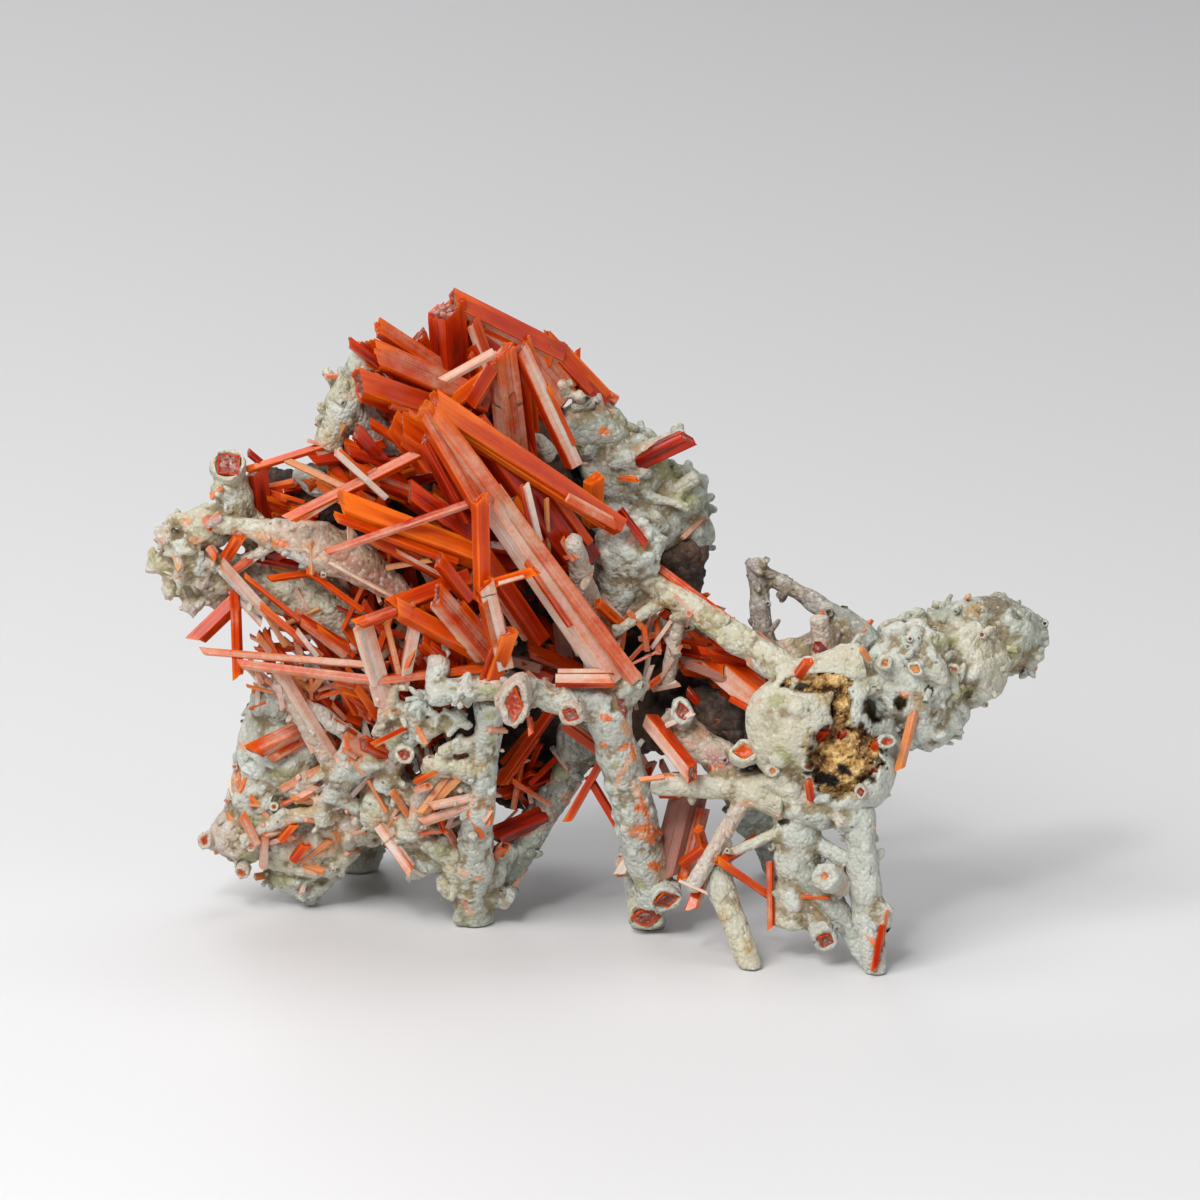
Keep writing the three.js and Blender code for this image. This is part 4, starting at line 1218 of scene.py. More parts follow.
            ((236, 836, 52), (30, 28, 28), Tone.BLUSH), ((306, 838, 54), (56, 42, 38), Tone.CREAM),
            ((350, 800, 42), (46, 52, 36), Tone.BLUSH), ((298, 876, 66), (34, 26, 26)),
            ((276, 704, 36), (26, 22, 24), Tone.SAGE),
        ],
        relief=LOBE, tubules=Tubules(64, (1.5, 3.4), (0.32, 0.55), 0.3, closed=0.9), chips=52,
        bumpiness=1.3, rods=110, voxel_scale=0.82,
    ),
    "right_branch": Branch(
        [
            ((652, 784, -80), (735, 786, -106), 9, 13, Tone.CREAM),
            ((735, 786, -106), (786, 796, -118), 14, 22, Tone.CREAM),
            ((664, 722, -52), (752, 776, -98), 18, 15, Tone.BLUSH),
            ((748, 790, -112), (690, 888, -126), 9, 7, Tone.BLUSH),
            ((680, 726, -66), (682, 710, -86), 11, 11),
        ],
        relief=STALK, tubules=Tubules(14), chips=5,
    ),
    "right_strut": Branch(
        [
            ((718, 858, -104), (722, 888, -124), 11, 12),
            ((722, 888, -124), (752, 972, -156), 13, 11, Tone.CREAM),
        ],
        tone=Tone.SAGE, relief=SMOOTH,
    ),
    "back_stalks": Branch(
        [
            ((757, 560, 66), (767, 664, 26), 9, 11), ((767, 574, 64), (842, 618, 26), 7, 10),
            ((842, 618, 26), (876, 650, -10), 12, 15, Tone.SLATE),
            ((818, 616, -10), (826, 662, -10), 10, 13, Tone.BLUSH), ((767, 660, 24), (846, 648, 6), 16, 22),
            ((786, 640, 10), (800, 668, 0), 9, 14, Tone.BLUSH), ((700, 622, 30), (776, 668, 10), 12, 16),
        ],
        tone=Tone.SHADED_BROWN_GREY, relief=STALK, tubules=Tubules(34), chips=10,
    ),
    "back_left_crust": Branch(
        [((390, 600, 130), (300, 560, 200), 26, 16), ((400, 680, 150), (430, 760, 240), 24, 17)],
        [
            ((400, 620, 134), (80, 74, 52)), ((356, 700, 124), (60, 60, 48), Tone.SAGE),
            ((446, 536, 124), (66, 66, 46), Tone.CREAM),
        ],
        relief=LOBE, tubules=Tubules(190, (2.5, 8.0), (0.5, 1.3), 0.45), chips=60, voxel_scale=1.35,
        rods=60,
    ),
    "back_right_crust": Branch(
        [((660, 650, 120), (740, 640, 150), 24, 14), ((540, 700, 150), (560, 770, 215), 24, 16)],
        [((556, 650, 134), (84, 70, 54)), ((648, 680, 110), (72, 62, 48), Tone.CREAM)],
        relief=LOBE, tubules=Tubules(170, (2.5, 8.0), (0.5, 1.3), 0.45), chips=60, voxel_scale=1.35,
        rods=60,
    ),
    "back_left_foot": Branch(
        [((374, 770, 140), (346, 888, 206), 28, 19)], tone=Tone.SAGE, tubules=Tubules(14)
    ),
    "back_right_foot": Branch(
        [((716, 735, 80), (800, 896, 182), 26, 18)], tone=Tone.SLATE, tubules=Tubules(14)
    ),
}


@dataclass
class CrustMason:
    """Builds the crust: fused stalks and lumps, a rough skin, and tubules set into it."""

    voxel: float = 0.42 * MM
    quick_voxel: float = 0.7 * MM
    sides: int = 14
    tubule_sides: int = 12
    ring_gap: float = 1.2 * MM
    stain_reach: float = 0.8 * MM
    chip_reach: float = 0.35 * MM
    # Colour the crevices are multiplied by: painted shade.
    crevice_shade: Colour = (0.54, 0.45, 0.32)
    growth: float = 0.10 * MM
    foot_height: float = 1.5 * MM
    foot_reach: float = 5.0 * MM
    foot_shrink: float = 0.5
    swell: float = 0.14
    drift: float = 0.16
    lump_size: float = 0.97
    lump_change: float = 0.16
    lump_waves: float = 1.6
    cap_size: float = 0.92
    cap_sink: float = 0.62
    nodule_gap: float = 1.0 * MM
    nodule_size: Span = (0.20, 0.42)
    nodule_span: Span = (0.04, 0.96)
    nodule_sink: float = 0.55
    knobs: int = 26
    knob_size: Span = (0.12, 0.28)
    knob_sink: float = 0.5
    rod_radius_mm: Span = (0.38, 0.72)
    rod_half_mm: Span = (1.2, 2.6)
    rod_tilt: Span = (-0.2, 0.45)
    rod_sink: Span = (-0.3, 0.4)
    rod_taper: float = 0.85
    tone_sharpness: float = 5.0
    hollow_limit: float = 2.5
    crevice_shade_start: float = 0.1
    crevice_shade_range: float = 1.7
    relief_shade: float = 0.12
    hollow_shade: float = 0.24
    chip_stain: float = 0.8
    patch_facing: Span = (0.4, 3.0)
    patch_edge: Span = (1.15, 0.25)
    patch_ragged: float = 0.4
    dent_edge: Span = (1.08, 0.18)
    dent_ragged: float = 0.22
    dent_shade: float = 0.75
    dent_start: float = 12.0
    chip_half_mm: Span = (0.8, 2.4)
    chip_sink_mm: Span = (0.1, 0.5)
    chip_width: Span = (5, 9)
    chip_looks: tuple[Look, ...] = (
        Look.SALMON, Look.SANDY, Look.PEACH, Look.FROST, Look.PEACH, Look.WHITE_FROST_AND_GLINT, Look.FROST,
    )
    easing: dict[int, float] = field(default_factory=lambda: {6: 0.14 * MM, 30: 0.33 * MM})
    chips: list[Row] = field(default_factory=list)
    rng: np.random.Generator = field(default_factory=lambda: np.random.default_rng(CRUST_SEED))

    def stalk(self, forms: Forms, start: np.ndarray, end: np.ndarray, radii: Span) -> None:
        """Adds one bent, uneven stalk with flat ends.

        Args:
            forms: where it goes.
            start: its first end.
            end: its last end.
            radii: its radius at each end, in metres.
        """
        along = end - start
        length = float(np.linalg.norm(along))
        side, back = GRID.across(along / length)
        count = max(3, int(length / self.ring_gap))
        turns = np.arange(self.sides) * FULL_TURN / self.sides
        phase = self.rng.uniform(0, 40)
        points = []
        for i in range(count + 1):
            share = i / count
            radius = radii[0] + (radii[1] - radii[0]) * share
            swell = 1 + self.swell * noise.noise(Vector((phase, share * length / (3 * MM), 0)))
            drift = self.drift * radius * math.sin(math.pi * share)
            middle = start + along * share
            middle = middle + side * drift * noise.noise(Vector((share * 3, phase, 5)))
            ring = np.outer(np.cos(turns), side) + np.outer(np.sin(turns), back)
            points.append(middle + ring * radius * swell)
        faces = ring_faces(count + 1, self.sides)
        faces.append(tuple(reversed(range(self.sides))))
        faces.append(tuple(count * self.sides + i for i in range(self.sides)))
        forms.add(np.concatenate(points), faces)

    def lump(self, forms: Forms, middle: np.ndarray, radii: np.ndarray, detail: int = 3) -> None:
        """Adds one rounded lump.

        Args:
            forms: where it goes.
            middle: its centre.
            radii: its radii along X, Y and Z, in metres.
            detail: how finely it is divided.
        """
        ball = bmesh.new()
        bmesh.ops.create_icosphere(ball, subdivisions=detail, radius=1.0)
        phase = self.rng.uniform(0, 40)
        shift = Vector((phase, 0, 0))
        waves = [noise.noise(v.co * self.lump_waves + shift) for v in ball.verts]
        points = np.array([
            v.co * (self.lump_size + self.lump_change * wave) for v, wave in zip(ball.verts, waves)
        ])
        faces = [tuple(v.index for v in f.verts) for f in ball.faces]
        ball.free()
        forms.add(middle + points * radii, faces)

    def core(self, branch: Branch) -> Forms:
        """Lays out a branch's stalks, lumps and fused rods as closed forms."""
        forms = Forms()
        seats: list[tuple[np.ndarray, np.ndarray]] = []
        for start, end, first, last, *_ in branch.stalks:
            a, b = GRID.place(start), GRID.place(end)
            radii = (first * GRID.step + self.growth, last * GRID.step + self.growth)
            self.stalk(forms, a, b, radii)
            length = float(np.linalg.norm(b - a))
            along = (b - a) / length
            side, back = GRID.across(along)
            for middle, radius, way in ((a, radii[0], along), (b, radii[1], -along)):
                sunk = middle + way * radius * self.cap_sink
                self.lump(forms, sunk, np.full(3, radius * self.cap_size), 2)
            for _ in range(int(length / self.nodule_gap)):
                share, turn = self.rng.uniform(*self.nodule_span), self.rng.uniform(0, FULL_TURN)
                radius = radii[0] + (radii[1] - radii[0]) * share
                out = side * math.cos(turn) + back * math.sin(turn)
                seats.append((a + (b - a) * share + out * radius, out))
                size = radius * self.rng.uniform(*self.nodule_size)
                seat = a + (b - a) * share + out * (radius - self.nodule_sink * size)
                self.lump(forms, seat, np.full(3, size), 2)
        for centre, radii, *_ in branch.lumps:
            across, high, deep = radii
            reach = np.array((across, deep, high)) * GRID.step + self.growth
            self.lump(forms, GRID.place(centre), reach)
            for _ in range(int(self.knobs * branch.bumpiness)):
                out = unit(self.rng.normal(size=3))
                seats.append((GRID.place(centre) + out * reach, out))
                size = reach.mean() * self.rng.uniform(*self.knob_size)
                seat = GRID.place(centre) + out * (reach - self.knob_sink * size)
                self.lump(forms, seat, np.full(3, size), 2)
        for _ in range(branch.rods):
            spot, out = seats[int(self.rng.integers(len(seats)))]
            axis = unit(lean_from(out, self.rng) + out * self.rng.uniform(*self.rod_tilt))
            radius = self.rng.uniform(*self.rod_radius_mm) * MM
            reach = axis * self.rng.uniform(*self.rod_half_mm) * MM
            foot = spot - out * radius * self.rng.uniform(*self.rod_sink)
            self.stalk(forms, foot - reach, foot + reach, (radius, radius * self.rod_taper))
        return forms

    def grounded(self, branch: Branch, points: np.ndarray) -> np.ndarray:
        """Cuts a skin off flat at the ground.

        Args:
            branch: the node's parts.
            points: points of the skin.

        Returns:
            The points, with those below the ground slid up along the lowest stalk and drawn in.
        """
        ends = [(GRID.place(row[0]), GRID.place(row[1])) for row in branch.stalks]
        top, foot = min(ends, key=lambda pair: pair[1][2])
        if foot[2] > self.foot_height:
            return np.column_stack((points[:, :2], np.maximum(points[:, 2], 0.0)))
        slope = (foot - top)[:2] / (foot - top)[2]
        middle = foot[:2] - slope * foot[2]
        sunk = np.maximum(-points[:, 2], 0.0)
        flat = points[:, :2] + slope * sunk[:, None]
        near = np.linalg.norm(flat - middle, axis=1) < self.foot_reach
        shrink = self.foot_shrink * np.clip(sunk / self.foot_height, 0, 1) * near
        flat = flat + (middle - flat) * shrink[:, None]
        return np.column_stack((flat, np.maximum(points[:, 2], 0.0)))

    def tones(self, branch: Branch, points: np.ndarray) -> np.ndarray:
        """Blends the tones of a branch's parts over its skin.

        Args:
            branch: the branch.
            points: points of the skin.

        Returns:
            One colour for each point.
        """
        weights, colours = [], []
        for start, end, first, last, *tone in branch.stalks:
            a, b = GRID.place(start), GRID.place(end)
            share, gap = nearest_on(points, a, b)
            weights.append(gap / ((first + (last - first) * share) * GRID.step))
            colours.append((tone[0] if tone else branch.tone).value)
        for centre, radii, *tone in branch.lumps:
            across, high, deep = radii
            scaled = (points - GRID.place(centre)) / (np.array((across, deep, high)) * GRID.step)
            weights.append(np.linalg.norm(scaled, axis=1))
            colours.append((tone[0] if tone else branch.tone).value)
        share = np.exp(-self.tone_sharpness * np.array(weights))
        share /= share.sum(axis=0)
        return share.T @ np.array(colours)

    def hollows(
        self, skin: bpy.types.Mesh, points: np.ndarray, normals: np.ndarray, scale: float
    ) -> np.ndarray:
        """Finds how hollow the skin is at each point.

        Args:
            skin: the fused skin.
            points: its points.
            normals: its normals.
            scale: size of its cells over the usual size.

        Returns:
            Hollowness over its usual spread: above zero in a dip and below it on a knob.
        """
        rounds = {max(1, round(turns / scale**2)): spread for turns, spread in self.easing.items()}
        flat = np.empty(len(skin.edges) * 2, dtype=np.int32)
        skin.edges.foreach_get("vertices", flat)
        a, b = flat.reshape(-1, 2).T
        count = np.bincount(flat, minlength=len(points))[:, None] + 1
        total = np.zeros(len(points))
        eased = points.copy()
        for turn in range(1, max(rounds) + 1):
            sums = [
                np.bincount(a, at[b], len(points)) + np.bincount(b, at[a], len(points)) for at in eased.T
            ]
            eased = (eased + np.column_stack(sums)) / count
            if turn in rounds:
                dip = ((eased - points) * normals).sum(axis=1)
                total += (dip - np.median(dip)) / rounds[turn]
        return np.clip(total, -self.hollow_limit, self.hollow_limit)

    def patch(
        self,
        name: str,
        points: np.ndarray,
        normals: np.ndarray,
        tone: np.ndarray,
        stain: np.ndarray,
    ) -> tuple[np.ndarray, np.ndarray, np.ndarray]:
        """Paints a node's small patches on the side that faces the viewer.

        Args:
            name: the node.
            points: points of its skin.
            normals: its normals.
            tone: its colours.
            stain: its stains.

        Returns:
            The colours, the stains with 2 where a patch is glassy, and the patches' cover.
        """
        spots = GRID.spots(points)
        cover = np.zeros(len(points))
        start, gain = self.patch_facing
        facing = np.clip(start - gain * (normals @ GRID.away), 0, 1)
        edge, softness = self.patch_edge
        ragged = np.array([noise.noise(Vector(spot / 5)) for spot in spots]) if name in PATCHES else 0.0
        for (column, row), (long, wide), turn, tint in PATCHES.get(name, ()):
            *colour, strength, gloss = tint.value
            across, down = spots[:, 0] - column, spots[:, 1] - row
            c, s = math.cos(math.radians(turn)), math.sin(math.radians(turn))
            gap = np.hypot((across * c + down * s) / long, (down * c - across * s) / wide)
            gap = gap + self.patch_ragged * ragged
            share = np.clip((edge - gap) / softness, 0, 1) * facing * strength
            tone = tone * (1 - share[:, None]) + np.array(colour) * share[:, None]
            stain = stain * (1 - share) + 2 * gloss * share
            cover = np.maximum(cover, share)
        return tone, stain, cover

    def stains(self, points: np.ndarray, axes: np.ndarray, reach: float) -> np.ndarray:
        """Finds where nearby crystals stain the crust.

        Args:
            points: points of the skin.
            axes: root, tip and half width of every crystal, seven numbers each.
            reach: how far a stain spreads, in metres.

        Returns:
            Strength of the stain at each point, from 0 to 1.
        """
        nearest = np.full(len(points), 1.0)
        for axis in axes:
            _, gap = nearest_on(points, axis[:3], axis[3:6])
            nearest = np.minimum(nearest, gap - axis[6])
        return np.exp(-np.clip(nearest, 0, None) / reach)

    def tubule(
        self,
        forms: Forms,
        foot: np.ndarray,
        axis: np.ndarray,
        length: float,
        radius: float,
        fill: float,
        tone: np.ndarray,
    ) -> None:
        """Adds one tubule with a hole or a red core at its end.

        Args:
            forms: where it goes.
            foot: the middle of its root.
            axis: its direction.
            length: its length, in metres.
            radius: its radius, in metres.
            fill: 0 for an empty hole, 1 for a core that fills it, -1 for a closed end.
            tone: its colour.
        """
        side, back = GRID.across(axis)
        sides = self.tubule_sides
        turns = np.arange(sides) * FULL_TURN / sides + self.rng.uniform(0, 1)
        squareness = self.rng.uniform(0.1, 0.8)
        square = np.maximum(np.abs(np.cos(turns)), np.abs(np.sin(turns))) ** -squareness * 0.92
        ring = (np.outer(np.cos(turns), side) + np.outer(np.sin(turns), back)) * square[:, None]
        bore = self.rng.uniform(0.42, 0.6) if fill >= 0 else 0.4
        depth = radius * (1.6 if fill == 0 else 0.35 if fill > 0 else -0.32)
        rim = 0.84 if fill >= 0 else 0.66
        profile = [(0.0, 1.0), (0.45, 1.0), (0.85, 0.96)]
        profile += [(1.0, wide) for wide in (rim, bore, bore * 0.94, 0.0)]
        drops = [0, 0, 0, 0, (0.05 if fill >= 0 else -0.25) * radius, depth * 1.02, depth * 1.1]
        points, dress = [], []
        bend = side * self.rng.uniform(-0.3, 0.3) * radius
        for index, ((share, wide), drop) in enumerate(zip(profile, drops)):
            rough = 1 + (0.30 if index < 4 else 0.16) * (self.rng.random(sides) - 0.5)
            middle = foot + axis * (length * share - drop) + bend * math.sin(math.pi * share)
            points.append(middle + ring * (radius * wide * rough)[:, None])
            # Inside an open hole the third painted number drops to 0, so the finish paints the hole dark:
            # painted shade.
            inner = 1.0 if index > 4 and fill >= 0 else 0.0
            core = inner if fill > 0.5 else 0.35 * inner
            dress.append(np.tile((0.15 + 0.3 * inner, core, 0.5 - 0.5 * inner), (sides, 1)))
        faces = ring_faces(len(profile), sides)
        forms.add(np.concatenate(points), faces, dress=np.concatenate(dress), tone=tone)

    def build(self, name: str, branch: Branch, axes: np.ndarray, material: bpy.types.Material) -> None:
        """Builds one node of the crust and puts it into the scene.

        Args:
            name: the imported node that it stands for.
            branch: its layout.
            axes: the crystals that may stain it.
            material: dresses it.
        """
        voxel = self.voxel * branch.voxel_scale
        smoothing = round(2 / min(branch.voxel_scale, 1.0) ** 2)
        skin = remeshed(self.core(branch).mesh("raw"), voxel, smoothing)
        points, normals = read_points(skin), read_normals(skin)
        offset = self.rng.uniform(0, 90)
        heights = branch.relief.heights(points, offset)
        points = points + normals * heights[:, None]
        points, depth = self.recess(name, points)
        points = self.grounded(branch, points)
        write_points(skin, points)
        normals = read_normals(skin)
        hollow = self.hollows(skin, points, normals, branch.voxel_scale)
        # Painted shade and light: crevices are darkened by a brownish multiplier, dents are darkened further,
        # and the third painted number, high on knobs and low in hollows and dents, lets the finish paint
        # knobs lighter and hollows darker.
        crevice = np.clip((hollow - self.crevice_shade_start) / self.crevice_shade_range, 0, 1)[:, None]
        tone = self.tones(branch, points)
        tone = tone * (1 - crevice) + tone * self.crevice_shade * crevice
        height = 0.5 + self.relief_shade * heights / heights.std() - self.hollow_shade * hollow
        height = np.clip(height, 0, 1) * (1 - depth)
        tone = tone * (1 - self.dent_shade * depth[:, None])
        stain = self.stains(points, axes, self.stain_reach)
        chips = self.chip(branch, points, normals)
        if chips:
            marks = self.stains(points, crystal_axes(chips), self.chip_reach)
            stain = np.maximum(stain, self.chip_stain * marks)
        tone, stain, cover = self.patch(name, points, normals, tone, stain)
        dress = np.column_stack((stain, -cover, height))
        forms = Forms()
        faces = [tuple(p.vertices) for p in skin.polygons]
        forms.add(points, faces, dress=dress, tone=tone)
        self.scatter(forms, branch, points, normals, tone)
        bpy.data.meshes.remove(skin)
        made = forms.mesh(name)
        made.shade_smooth()
        add_piece(f"{name}_skin", made, material, (name,))

    def recess(self, name: str, points: np.ndarray) -> tuple[np.ndarray, np.ndarray]:
        """Sinks a skin where its node has dents.

        Args:
            name: the node.
            points: points of its skin.

        Returns:
            The points, sunk where they must be, and how deep each is sunk, from 0 to 1.
        """
        spots = GRID.spots(points)
        drop = np.zeros(len(points))
        depth = np.zeros(len(points))
        coarse = np.array([noise.noise(Vector(spot / 11)) for spot in spots])
        ragged = coarse + 0.7 * np.array([noise.noise(Vector(spot / 4.5)) for spot in spots])
        edge, softness = self.dent_edge
        for centre, radii, sink in DENTS.get(name, ()):
            gap = np.hypot((spots[:, 0] - centre[0]) / radii[0], (spots[:, 1] - centre[1]) / radii[1])
            push = np.clip((edge - gap - self.dent_ragged * ragged) / softness, 0, 1)
            push *= np.clip((centre[2] - spots[:, 2]) / self.dent_start, 0, 1)
            drop = np.maximum(drop, push * sink * GRID.step)
            depth = np.maximum(depth, push)
        return points + np.outer(drop, GRID.away), depth

    def scatter(
        self, forms: Forms, branch: Branch, points: np.ndarray, normals: np.ndarray, tones: np.ndarray
    ) -> None:
        """Sets the fine tubules into a skin.

        Args:
            forms: where they go.
            branch: says how many and how large.
            points: points of the skin.
            normals: its normals.
            tones: its colours.
        """
        plan = branch.tubules
        for _ in range(plan.count):
            pick = int(self.rng.integers(len(points)))
            normal = normals[pick]
            lean = lean_from(normal, self.rng)
            axis = unit(normal * plan.stand + lean * self.rng.uniform(*plan.lean))
            length = self.rng.uniform(*plan.length) * MM
            radius = self.rng.uniform(*plan.radius) * MM
            foot = points[pick] - axis * length * 0.5 - normal * radius * plan.sink
            if min(foot[2], (foot + axis * length)[2]) < radius:
                continue
            fill = 1.0 if self.rng.random() < plan.cored else -1.0 if self.rng.random() < plan.closed else 0.0
            tone = tones[pick] * self.rng.uniform(*plan.brightness)
            self.tubule(forms, foot, axis, length, radius, fill, tone)

    def chip(self, branch: Branch, points: np.ndarray, normals: np.ndarray) -> list[Row]:
        """Chooses small crystals that are half sunk in a skin.

        Args:
            branch: says how many.
            points: points of the skin.
            normals: its normals.

        Returns:
            Their rows, which are also kept for the piece of all chips.
        """
        made: list[Row] = []
        for _ in range(branch.chips):
            pick = int(self.rng.integers(len(points)))
            normal = normals[pick]
            axis = lean_from(normal, self.rng) + normal * self.rng.uniform(-0.15, 0.15)
            reach = axis * self.rng.uniform(*self.chip_half_mm) * MM
            middle = points[pick] - normal * self.rng.uniform(*self.chip_sink_mm) * MM
            root, tip = GRID.spots(np.array((middle - reach, middle + reach)))
            look = self.chip_looks[int(self.rng.integers(len(self.chip_looks)))]
            if points[pick][2] - abs(reach[2]) > MM:
                width, roll = self.rng.uniform(*self.chip_width), self.rng.uniform(0, 90)
                made.append((tuple(root), tuple(tip), width, roll, look))
        self.chips += made
        return made


@dataclass(frozen=True)
class CoredEnd:
    """A stalk's broken end: a thin rim of crust round a crystal."""

    spot: Spot
    out: Spot
    radius: float
    length: float = 12.0
    look: Look = Look.RUBY
    roll: float = 45.0
    slimness: float = 0.85
    tone: Tone = Tone.CHALK
    rim: float = 0.18


CORED_ENDS: list[CoredEnd] = [
    CoredEnd((231, 465, -33), (0.05, -0.35, -1), 17, 20, Look.RUBY, 40, 0.95, Tone.CREAM, 0.05),
    CoredEnd((515, 704, -140), (-0.1, 0.4, -1), 23, 22, Look.STREAK, 82, 0.50, Tone.BLUSH, 0.12),
    CoredEnd((571, 714, -124), (-0.1, 0.5, -1), 13, 20, Look.RUBY, 12, 0.95, Tone.BLUSH, 0.30),
    CoredEnd((682, 711, -96), (0.0, 0.0, -1), 13, 18, Look.RUBY, 75, 0.72, Tone.CHALK, 0.24),
    CoredEnd((666, 901, -68), (0.1, 0.5, -1), 17, 22, Look.CLEAR, 0, 0.66, Tone.CHALK, 0.10),
    CoredEnd((646, 919, -46), (0.0, 0.5, -1), 19, 22, Look.RUBY, 0, 0.66, Tone.CREAM, 0.12),
    CoredEnd((824, 938, -160), (0.2, 0.5, -1), 14, 14, Look.RUBY, 50, 0.85, Tone.CHALK, 0.26),
    CoredEnd((912, 668, -122), (0.0, 0.0, -1), 8, 12, Look.SANDY, 30, 0.8, Tone.CREAM, 0.3),
    CoredEnd((950, 671, -92), (0.0, 0.1, -1), 9, 12, Look.SALMON, 60, 0.8, Tone.CREAM, 0.3),
    CoredEnd((950, 688, -92), (0.0, 0.1, -1), 8, 12, Look.SANDY, 45, 0.9, Tone.CREAM, 0.4),
    CoredEnd((1003, 661, -60), (0.0, 0.1, -1), 7, 10, Look.CLEAR, 45, 0.8, Tone.CREAM, 0.3),
    CoredEnd((882, 662, -124), (0.1, 0.0, -1), 8, 12, Look.PEACH, 45, 0.9, Tone.CREAM, 0.5),
    CoredEnd((884, 740, -134), (0.1, 0.0, -1), 9, 12, Look.SALMON, 80, 0.7, Tone.CHALK, 0.3),
    CoredEnd((858, 790, -154), (0.0, 0.2, -1), 7, 10, Look.RUBY, 80, 0.7, Tone.BLUSH, 0.25),
    CoredEnd((743, 750, -128), (0.0, -0.3, -1), 15, 16, Look.STREAK, 0, 0.7, Tone.CREAM, 0.22),
    CoredEnd((771, 769, -146), (0.1, 0.1, -1), 7, 10, Look.SANDY, 45, 0.9, Tone.CREAM, 0.5),
    CoredEnd((405, 754, -84), (0.0, 0.1, -1), 10, 16, Look.RUBY, 15, 0.9, Tone.CREAM, 0.34),
    CoredEnd((200, 843, 30), (-0.5, 0.1, -1), 9, 12, Look.SALMON, 30, 0.8, Tone.BLUSH, 0.4),
    CoredEnd((248, 848, 12), (-0.3, 0.1, -1), 6, 12, Look.SALMON, 45, 0.9, Tone.BLUSH, 0.4),
    CoredEnd((238, 876, 28), (-0.2, 0.6, -1), 8, 12, Look.PEACH, 45, 0.8, Tone.BLUSH, 0.35),
    CoredEnd((272, 808, 6), (0.0, 0.0, -1), 5, 10, Look.SALMON, 45, 0.9, Tone.CREAM, 0.5),
    CoredEnd((822, 873, -178), (-0.35, -0.2, -1), 14, 26, Look.SANDY, 45, 0.95, Tone.CHALK, 0.72),
    CoredEnd((501, 854, -24), (0.3, 0.1, -1), 7, 14, Look.STREAK, 45, 0.9, Tone.CREAM, 0.3),
    CoredEnd((622, 862, -34), (-0.7, 0.3, -1), 9, 16, Look.WHITE_FROST_AND_GLINT, 60, 0.9, Tone.BLUSH, 0.24),
]


@dataclass
class CoredEnds:
    """All the broken stalk ends that show a crystal."""

    ends: list[CoredEnd]
    sides: int = 28

    def collar(
        self, forms: Forms, end: CoredEnd, foot: np.ndarray, out: np.ndarray, rng: np.random.Generator
    ) -> None:
        """Adds one rim, whose section follows the crystal in it.

        Args:
            forms: where it goes.
            end: the broken end.
            foot: the middle of its root.
            out: its direction.
            rng: where the numbers come from.
        """
        side, back = GRID.across(out)
        radius, length = end.radius * GRID.step, end.length * GRID.step
        turns = np.arange(self.sides) * FULL_TURN / self.sides
        roll = math.radians(end.roll)
        first = side * math.cos(roll) + back * math.sin(roll)
        second = back * math.cos(roll) - side * math.sin(roll)
        wander = rng.uniform(0, FULL_TURN, 3)
        waves = sum(np.sin((k + 2) * turns + phase) for k, phase in enumerate(wander))
        uneven = 1 + 0.05 * (1 - end.rim) * waves
        rings = []
        for roundness, slim in ((1.85, 0.35 + 0.65 * end.slimness), (1.25, end.slimness)):
            power = np.abs(np.cos(turns)) ** roundness + np.abs(np.sin(turns)) ** roundness
            reach = power ** (-1 / roundness) * uneven
            across = np.outer(np.cos(turns) * reach, first)
            rings.append(across + np.outer(np.sin(turns) * reach * slim, second))
        inner = 1 - end.rim
        chipped = rng.normal(size=self.sides)
        chipped = (chipped + np.roll(chipped, 1) + np.roll(chipped, 2)) * 0.05 * radius * inner
        profile = [(0.0, 1.06), (0.35, 1.02), (0.7, 1.0), (0.93, 0.99), (1.0, 0.93)]
        profile += [(1.0, inner), (0.7, inner * 0.9), (0.5, 0.0)]
        points, dress = [], []
        for index, (share, wide) in enumerate(profile):
            rough = rng.normal(size=self.sides)
            rough = 1 + (0.03 if index < 5 else 0.01) * (rough + np.roll(rough, 1))
            rise = length * share + (chipped if index in (4, 5) else 0.0)
            spots = foot + rings[index > 4] * (radius * wide * rough)[:, None]
            points.append(spots + np.outer(np.broadcast_to(rise, self.sides), out))
            stain = (0.2, 0.2, 0.25, 0.3, 0.4, 0.6, 0.9, 1.0)[index]
            dress.append(np.tile((stain, 0.0, 0.75), (self.sides, 1)))
        faces = ring_faces(len(profile), self.sides)
        forms.add(np.concatenate(points), faces, dress=np.concatenate(dress), tone=np.array(end.tone.value))

    def build(self, smith: CrystalSmith, rims: bpy.types.Material, cores: bpy.types.Material) -> None:
        """Builds the rims as one piece and the crystals in them as another.

        Args:
            smith: cuts the crystals.
            rims: dresses the rims.
            cores: dresses the crystals.
        """
        rng = np.random.default_rng(CORED_SEED)
        collars, crystals = Forms(), Forms()
        for end in self.ends:
            out = unit(np.array((end.out[0], 0.0, -end.out[1])) + end.out[2] * GRID.away)
            foot = GRID.place(end.spot) - out * end.length * GRID.step
            self.collar(collars, end, foot, out, rng)
            root, tip = GRID.spots(np.array((foot, foot + out * end.length * 0.985 * GRID.step)))
            width = 2 * end.radius * (1 - end.rim) * 1.02
            row = (tuple(root), tuple(tip), width, end.roll, end.look, End.ROUGH)
            smith.cut(crystals, Prism(*row, slimness=end.slimness, slope=0.1), GRID)
        made = collars.mesh("cored_ends")
        made.shade_smooth()
        add_piece("cored_ends", made, rims)
        add_piece("core_crystals", crystals.mesh("core_crystals"), cores)


# --- Limonite and gossan --------------------------------------------------------------------------


